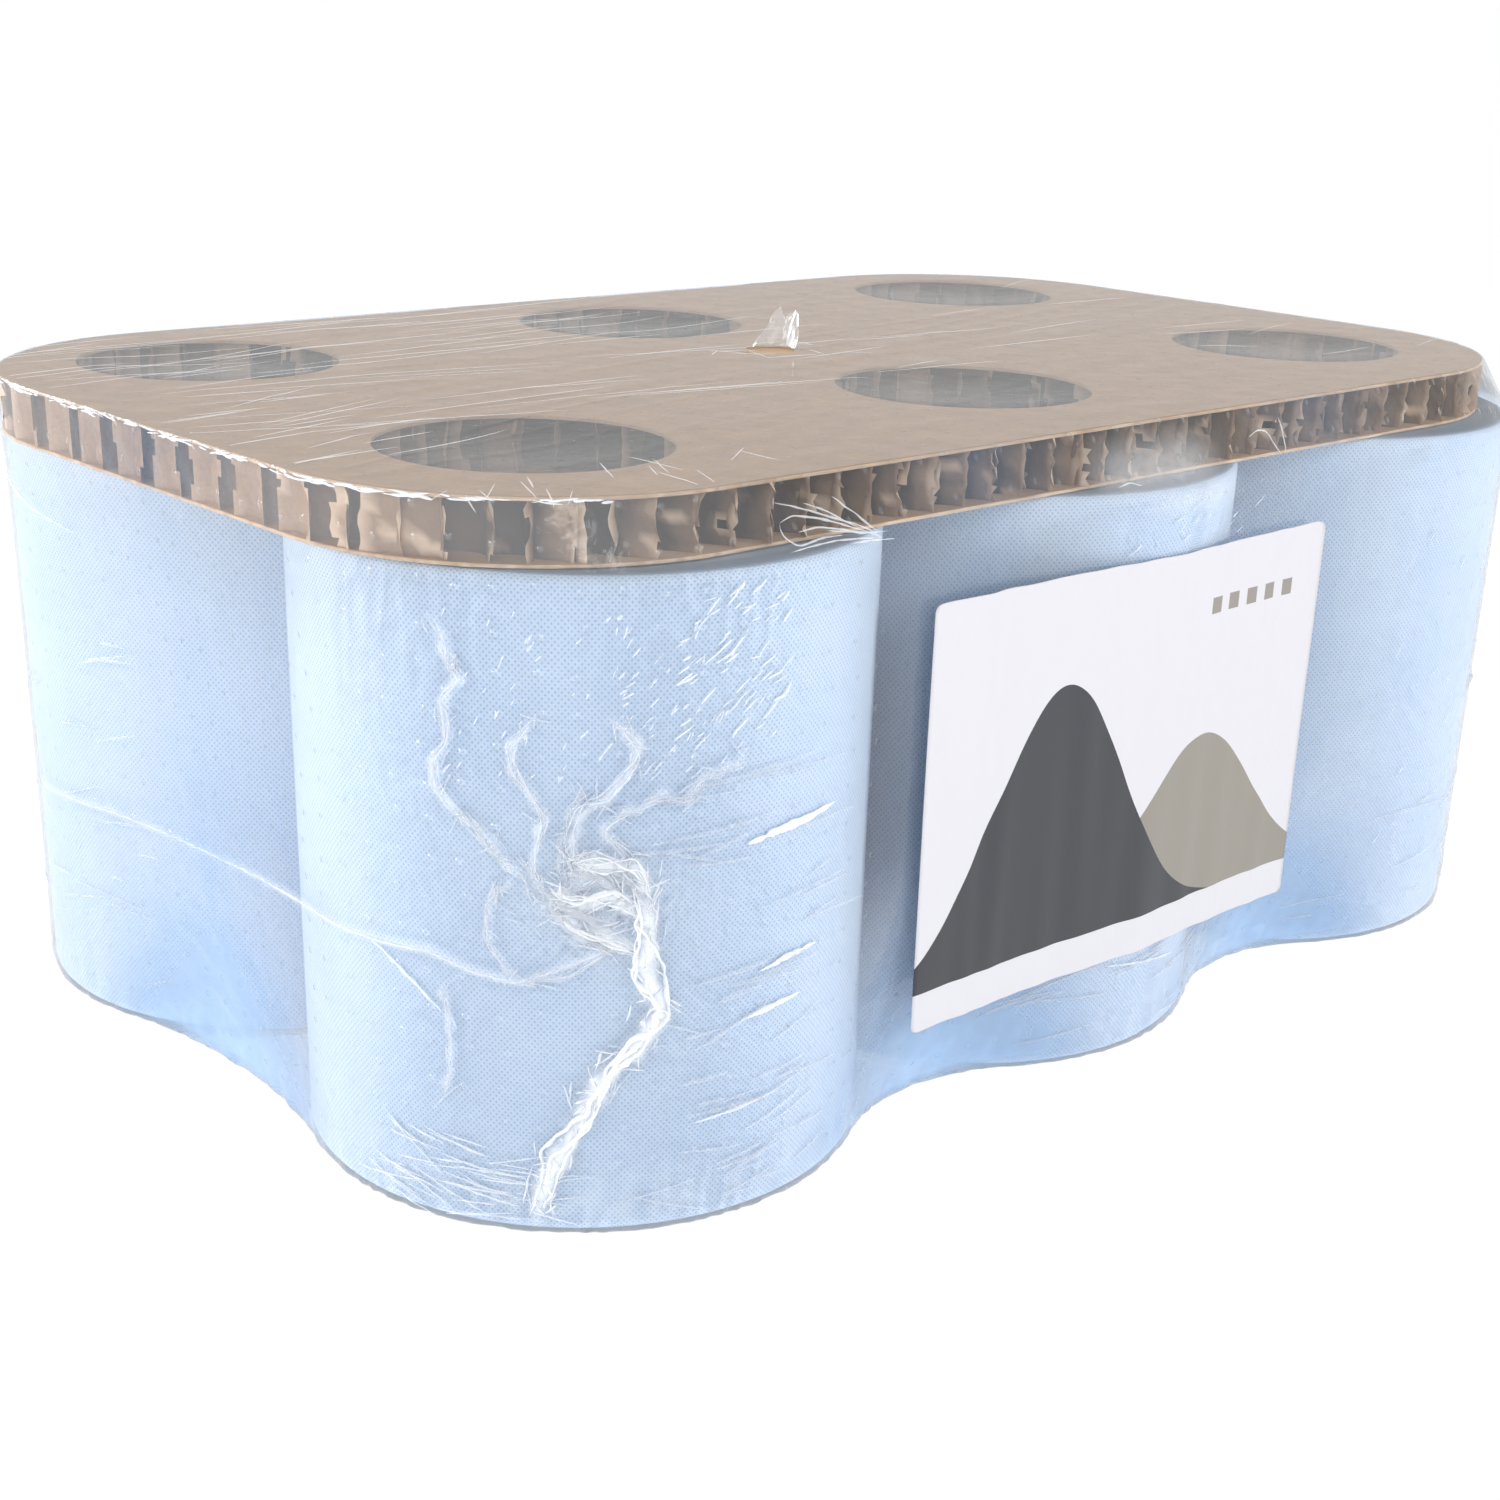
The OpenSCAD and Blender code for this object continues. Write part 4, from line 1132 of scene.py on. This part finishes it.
def label_material(colours):
    """Coated label paper, printed offset in flat tones: smooth and slightly grained, with a low sheen.
    The hills and squares are plain ornament"""
    material, tree = blank_material("coated_label_paper")
    uv = add(tree, "ShaderNodeTexCoord").outputs["UV"]
    x, y, _ = add(tree, "ShaderNodeSeparateXYZ", {0: uv}).outputs
    # Two hills rise from the foot: y below base + rise * exp(-((x - middle) / width) squared)
    over_foot = maths(tree, "GREATER_THAN", y, 14.0)
    hills = []
    for middle, width, rise, base in ((68.0, 47.0, 98.0, 12.0), (146.0, 50.0, 66.0, 12.0)):
        aside = maths(tree, "MULTIPLY_ADD", x, 1 / width, -middle / width)
        falling = maths(tree, "MULTIPLY", maths(tree, "MULTIPLY", aside, aside), -1.0)
        crest = maths(tree, "MULTIPLY_ADD", maths(tree, "EXPONENT", falling), rise, base)
        hills.append(maths(tree, "MULTIPLY", maths(tree, "LESS_THAN", y, crest), over_foot))
    # A row of small squares, 6 mm wide and 11 mm apart, near the upper right corner
    in_square = maths(tree, "LESS_THAN", maths(tree, "MODULO", x, 11.0), 6.0)
    row = maths(tree, "MULTIPLY", in_square, maths(tree, "COMPARE", y, 126.0, 3.0))
    span = maths(tree, "MULTIPLY", maths(tree, "GREATER_THAN", x, 143.0), maths(tree, "LESS_THAN", x, 193.0))
    squares = maths(tree, "MULTIPLY", row, span)
    colour = mixed(tree, hills[1], linear("#cdccd2"), tuple(colours.label_warm))
    colour = mixed(tree, hills[0], colour, tuple(colours.label_dark))
    colour = mixed(tree, squares, colour, linear("#8d8882"))
    cover(tree, colour, 0.42, 0.45, bumped(tree, 0.15, 0.0002, noise(tree, uv, 0.8, 3.0)))
    return material


def label_parts(sizes):
    """The label as a sheet of width by height that lies over the film: its distance follows the film's
    circles and hollow, and gentle upright ripples are added. Rows near a corner are drawn in to its arc"""
    width = sizes.label_width / MM
    height = sizes.label_height / MM
    low, high = corners_mm("label_sheet")
    corner = 3.0
    lead = np.array([0.0, 0.4, 0.9, 1.5, 2.2, 3.0])
    v = np.concatenate([lead, np.linspace(6, height - 6, 44), height - lead[::-1]])
    u = np.linspace(0, 1, 110)
    edge = np.minimum(v, height - v)
    drawn_in = corner - np.sqrt(np.maximum(corner ** 2 - (corner - edge.clip(0, corner)) ** 2, 0))
    across = drawn_in[:, None] + u[None] * (width - 2 * drawn_in[:, None])
    x = low[0] + across
    z = low[2] + v[:, None] + 0 * x
    half = PITCH[0] / 2
    gap = np.where(x < 0, -half, half)
    radius = sizes.roll_diameter / MM / 2 + sizes.film_gap / MM + 0.45
    out = film_out(x - gap, half, radius, sizes.waist_mid / MM - 2.5)
    slack = np.exp(-((x - gap) / 30) ** 2)
    ripple = 0.35 * (waves(x, z * 0.12, 22, 81) + 1) + 0.9 * slack * (waves(x, z * 0.1, 15, 82) * 0.5 + 0.5)
    y = -PITCH[1] / 2 - out - ripple.clip(0, 2)
    points = np.stack([x, y, z], -1)
    uv = np.stack([across, v[:, None] + 0 * across], -1)
    return [{"points": points, "uv": uv}]


class TOWELPACK_OT_label(bpy.types.Operator):
    """Builds the paper label on the film"""
    bl_idname = "towelpack.label"
    bl_label = "Label"

    def execute(self, context):
        sizes = context.scene.pack_sizes
        material = label_material(context.scene.pack_colours)
        label = make_piece("printed_label", label_parts(sizes), material, ["label_sheet"])
        thickness = label.modifiers.new("Thickness", "SOLIDIFY")
        thickness.thickness = 0.25 * MM
        thickness.offset = -1
        return {"FINISHED"}


# Stage

# Camera that was fitted to the photograph: place in metres, turn and rise in degrees, lean in radians,
# focal length in millimetres, and shift as a share of the picture
CAMERA_PLACE = (-0.62707, -0.65022, 0.36363)
CAMERA_TURN = -43.45
CAMERA_RISE = 22.1
CAMERA_LEAN = 0.034
CAMERA_LENS = 54.03
CAMERA_SHIFT = (-0.01153, 0.10113)

# Softboxes: place and height of the target in metres, width, height, power in watts, and whether gloss
# shows it. Mirrored in the film's top, the front fill would hide half of the pad from behind
SOFTBOXES = {
    "key_softbox": ((-1.9, 0.45, 0.75), 0.12, 0.85, 0.75, 19, True),
    "back_box": ((-0.75, 1.9, 0.75), 0.15, 0.75, 0.6, 9, True),
    "front_fill": ((0.9, -2.3, 0.9), 0.1, 1.35, 1.1, 29, False),
    "camera_fill": ((-1.5, -1.5, 1.3), 0.1, 1.2, 0.85, 13, True),
}
FLOOR_REACH = 6.0
FLOOR_DROP = 0.0003


def placed(name, data, right, up, back, place):
    """A new object whose axes point right, up and back, at a place"""
    matrix = np.eye(4)
    matrix[:3] = np.stack([right, up, back, place], -1)
    item = bpy.data.objects.new(name, data)
    item.matrix_world = Matrix(matrix.tolist())
    bpy.context.scene.collection.objects.link(item)
    return item


def area_lamp(name, place, target_height, width, height, power, mirrored):
    """A white softbox at a place that faces a target over the middle of the pack"""
    data = bpy.data.lights.new(name, "AREA")
    data.shape = "RECTANGLE"
    data.size = width
    data.size_y = height
    data.energy = power
    back = np.array(place) - np.array((0, 0, target_height))
    back = back / np.linalg.norm(back)
    right = np.cross([0, 0, 1], back)
    right = right / np.linalg.norm(right)
    lamp = placed(name, data, right, np.cross(back, right), back, place)
    lamp.visible_glossy = mirrored


def photo_camera(scene):
    """Camera of the photograph"""
    turn = math.radians(CAMERA_TURN)
    rise = math.radians(CAMERA_RISE)
    back = np.array([math.sin(turn) * math.cos(rise), -math.cos(turn) * math.cos(rise), math.sin(rise)])
    level = np.array([math.cos(turn), math.sin(turn), 0])
    over = np.cross(back, level)
    data = bpy.data.cameras.new("view")
    data.sensor_width = 36
    data.lens = CAMERA_LENS
    data.shift_x, data.shift_y = CAMERA_SHIFT
    right = math.cos(CAMERA_LEAN) * level + math.sin(CAMERA_LEAN) * over
    scene.camera = placed("view", data, right, np.cross(back, right), back, CAMERA_PLACE)


def seen_rays(tree):
    """One for rays that show a surface: from the camera, off gloss and through glass, and zero for others"""
    path = add(tree, "ShaderNodeLightPath").outputs
    sight = maths(tree, "MAXIMUM", path["Is Camera Ray"], path["Is Glossy Ray"])
    return maths(tree, "MAXIMUM", sight, path["Is Transmission Ray"])


def white_world(scene):
    """Surround that is seen as white and lights the pack with less"""
    world = bpy.data.worlds.new("white_surround")
    world.use_nodes = True
    tree = world.node_tree
    tree.nodes.clear()
    lights, white = [add(tree, "ShaderNodeBackground", {"Color": WHITE, "Strength": strength}).outputs[0]
                     for strength in (0.46, 1.0)]
    add(tree, "ShaderNodeOutputWorld", {"Surface": blend(tree, seen_rays(tree), lights, white)})
    scene.world = world


def studio_floor(scene):
    """White floor under the pack"""
    material, tree = blank_material("white_studio_floor")
    # A lit table: it sends light up at the pack besides what falls on it
    pale = add(tree, "ShaderNodeBsdfDiffuse", {"Color": linear("#f4f4f4")}).outputs[0]
    table = add(tree, "ShaderNodeEmission", {"Color": WHITE, "Strength": 0.55}).outputs[0]
    lit = add(tree, "ShaderNodeAddShader", {0: pale, 1: table}).outputs[0]
    # What the camera sees of the floor is white, less the shadow on its faint matt share
    faint = add(tree, "ShaderNodeBsdfDiffuse", {"Color": (0.05, 0.05, 0.05, 1.0)}).outputs[0]
    glow = add(tree, "ShaderNodeEmission", {"Color": WHITE, "Strength": 0.985}).outputs[0]
    shown = add(tree, "ShaderNodeAddShader", {0: faint, 1: glow}).outputs[0]
    add(tree, "ShaderNodeOutputMaterial", {"Surface": blend(tree, seen_rays(tree), lit, shown)})
    mesh = bpy.data.meshes.new("studio_floor")
    signs = ((-1, -1), (1, -1), (1, 1), (-1, 1))
    corners = [(x * FLOOR_REACH, y * FLOOR_REACH, -FLOOR_DROP) for x, y in signs]
    mesh.from_pydata(corners, [], [(0, 1, 2, 3)])
    mesh.materials.append(material)
    floor = bpy.data.objects.new("studio_floor", mesh)
    scene.collection.objects.link(floor)


class TOWELPACK_OT_stage(bpy.types.Operator):
    """Sets the camera, the floor, the white surround and the lamps"""
    bl_idname = "towelpack.stage"
    bl_label = "Stage"

    def execute(self, context):
        scene = context.scene
        scene.view_settings.view_transform = "Standard"
        photo_camera(scene)
        white_world(scene)
        studio_floor(scene)
        for name, settings in SOFTBOXES.items():
            area_lamp(name, *settings)
        return {"FINISHED"}


class TOWELPACK_PT_panel(bpy.types.Panel):
    """Lists the steps of the pack in the sidebar"""
    bl_idname = "TOWELPACK_PT_panel"
    bl_label = "Towel pack"
    bl_space_type = "VIEW_3D"
    bl_region_type = "UI"
    bl_category = "Towel pack"

    def draw(self, context):
        for operator in STEPS:
            self.layout.operator(operator.bl_idname)
        for group in (context.scene.pack_sizes, context.scene.pack_colours):
            for name in group.bl_rna.properties.keys():
                if name not in ("rna_type", "name"):
                    self.layout.prop(group, name)


STEPS = (TOWELPACK_OT_stage, TOWELPACK_OT_rolls, TOWELPACK_OT_cores, TOWELPACK_OT_pad, TOWELPACK_OT_film,
         TOWELPACK_OT_label)
CLASSES = (PackSizes, PackColours, *STEPS, TOWELPACK_PT_panel)


def register():
    """Registers the classes and hangs the settings on the scene"""
    for item in CLASSES:
        bpy.utils.register_class(item)
    bpy.types.Scene.pack_sizes = bpy.props.PointerProperty(type=PackSizes)
    bpy.types.Scene.pack_colours = bpy.props.PointerProperty(type=PackColours)


def unregister():
    """Takes everything back"""
    del bpy.types.Scene.pack_colours
    del bpy.types.Scene.pack_sizes
    for item in reversed(CLASSES):
        bpy.utils.unregister_class(item)


def main():
    """Builds the whole pack"""
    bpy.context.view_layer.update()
    register()
    bpy.ops.towelpack.stage()
    bpy.ops.towelpack.rolls()
    bpy.ops.towelpack.cores()
    bpy.ops.towelpack.pad()
    bpy.ops.towelpack.film()
    bpy.ops.towelpack.label()


if __name__ == "__main__":
    main()
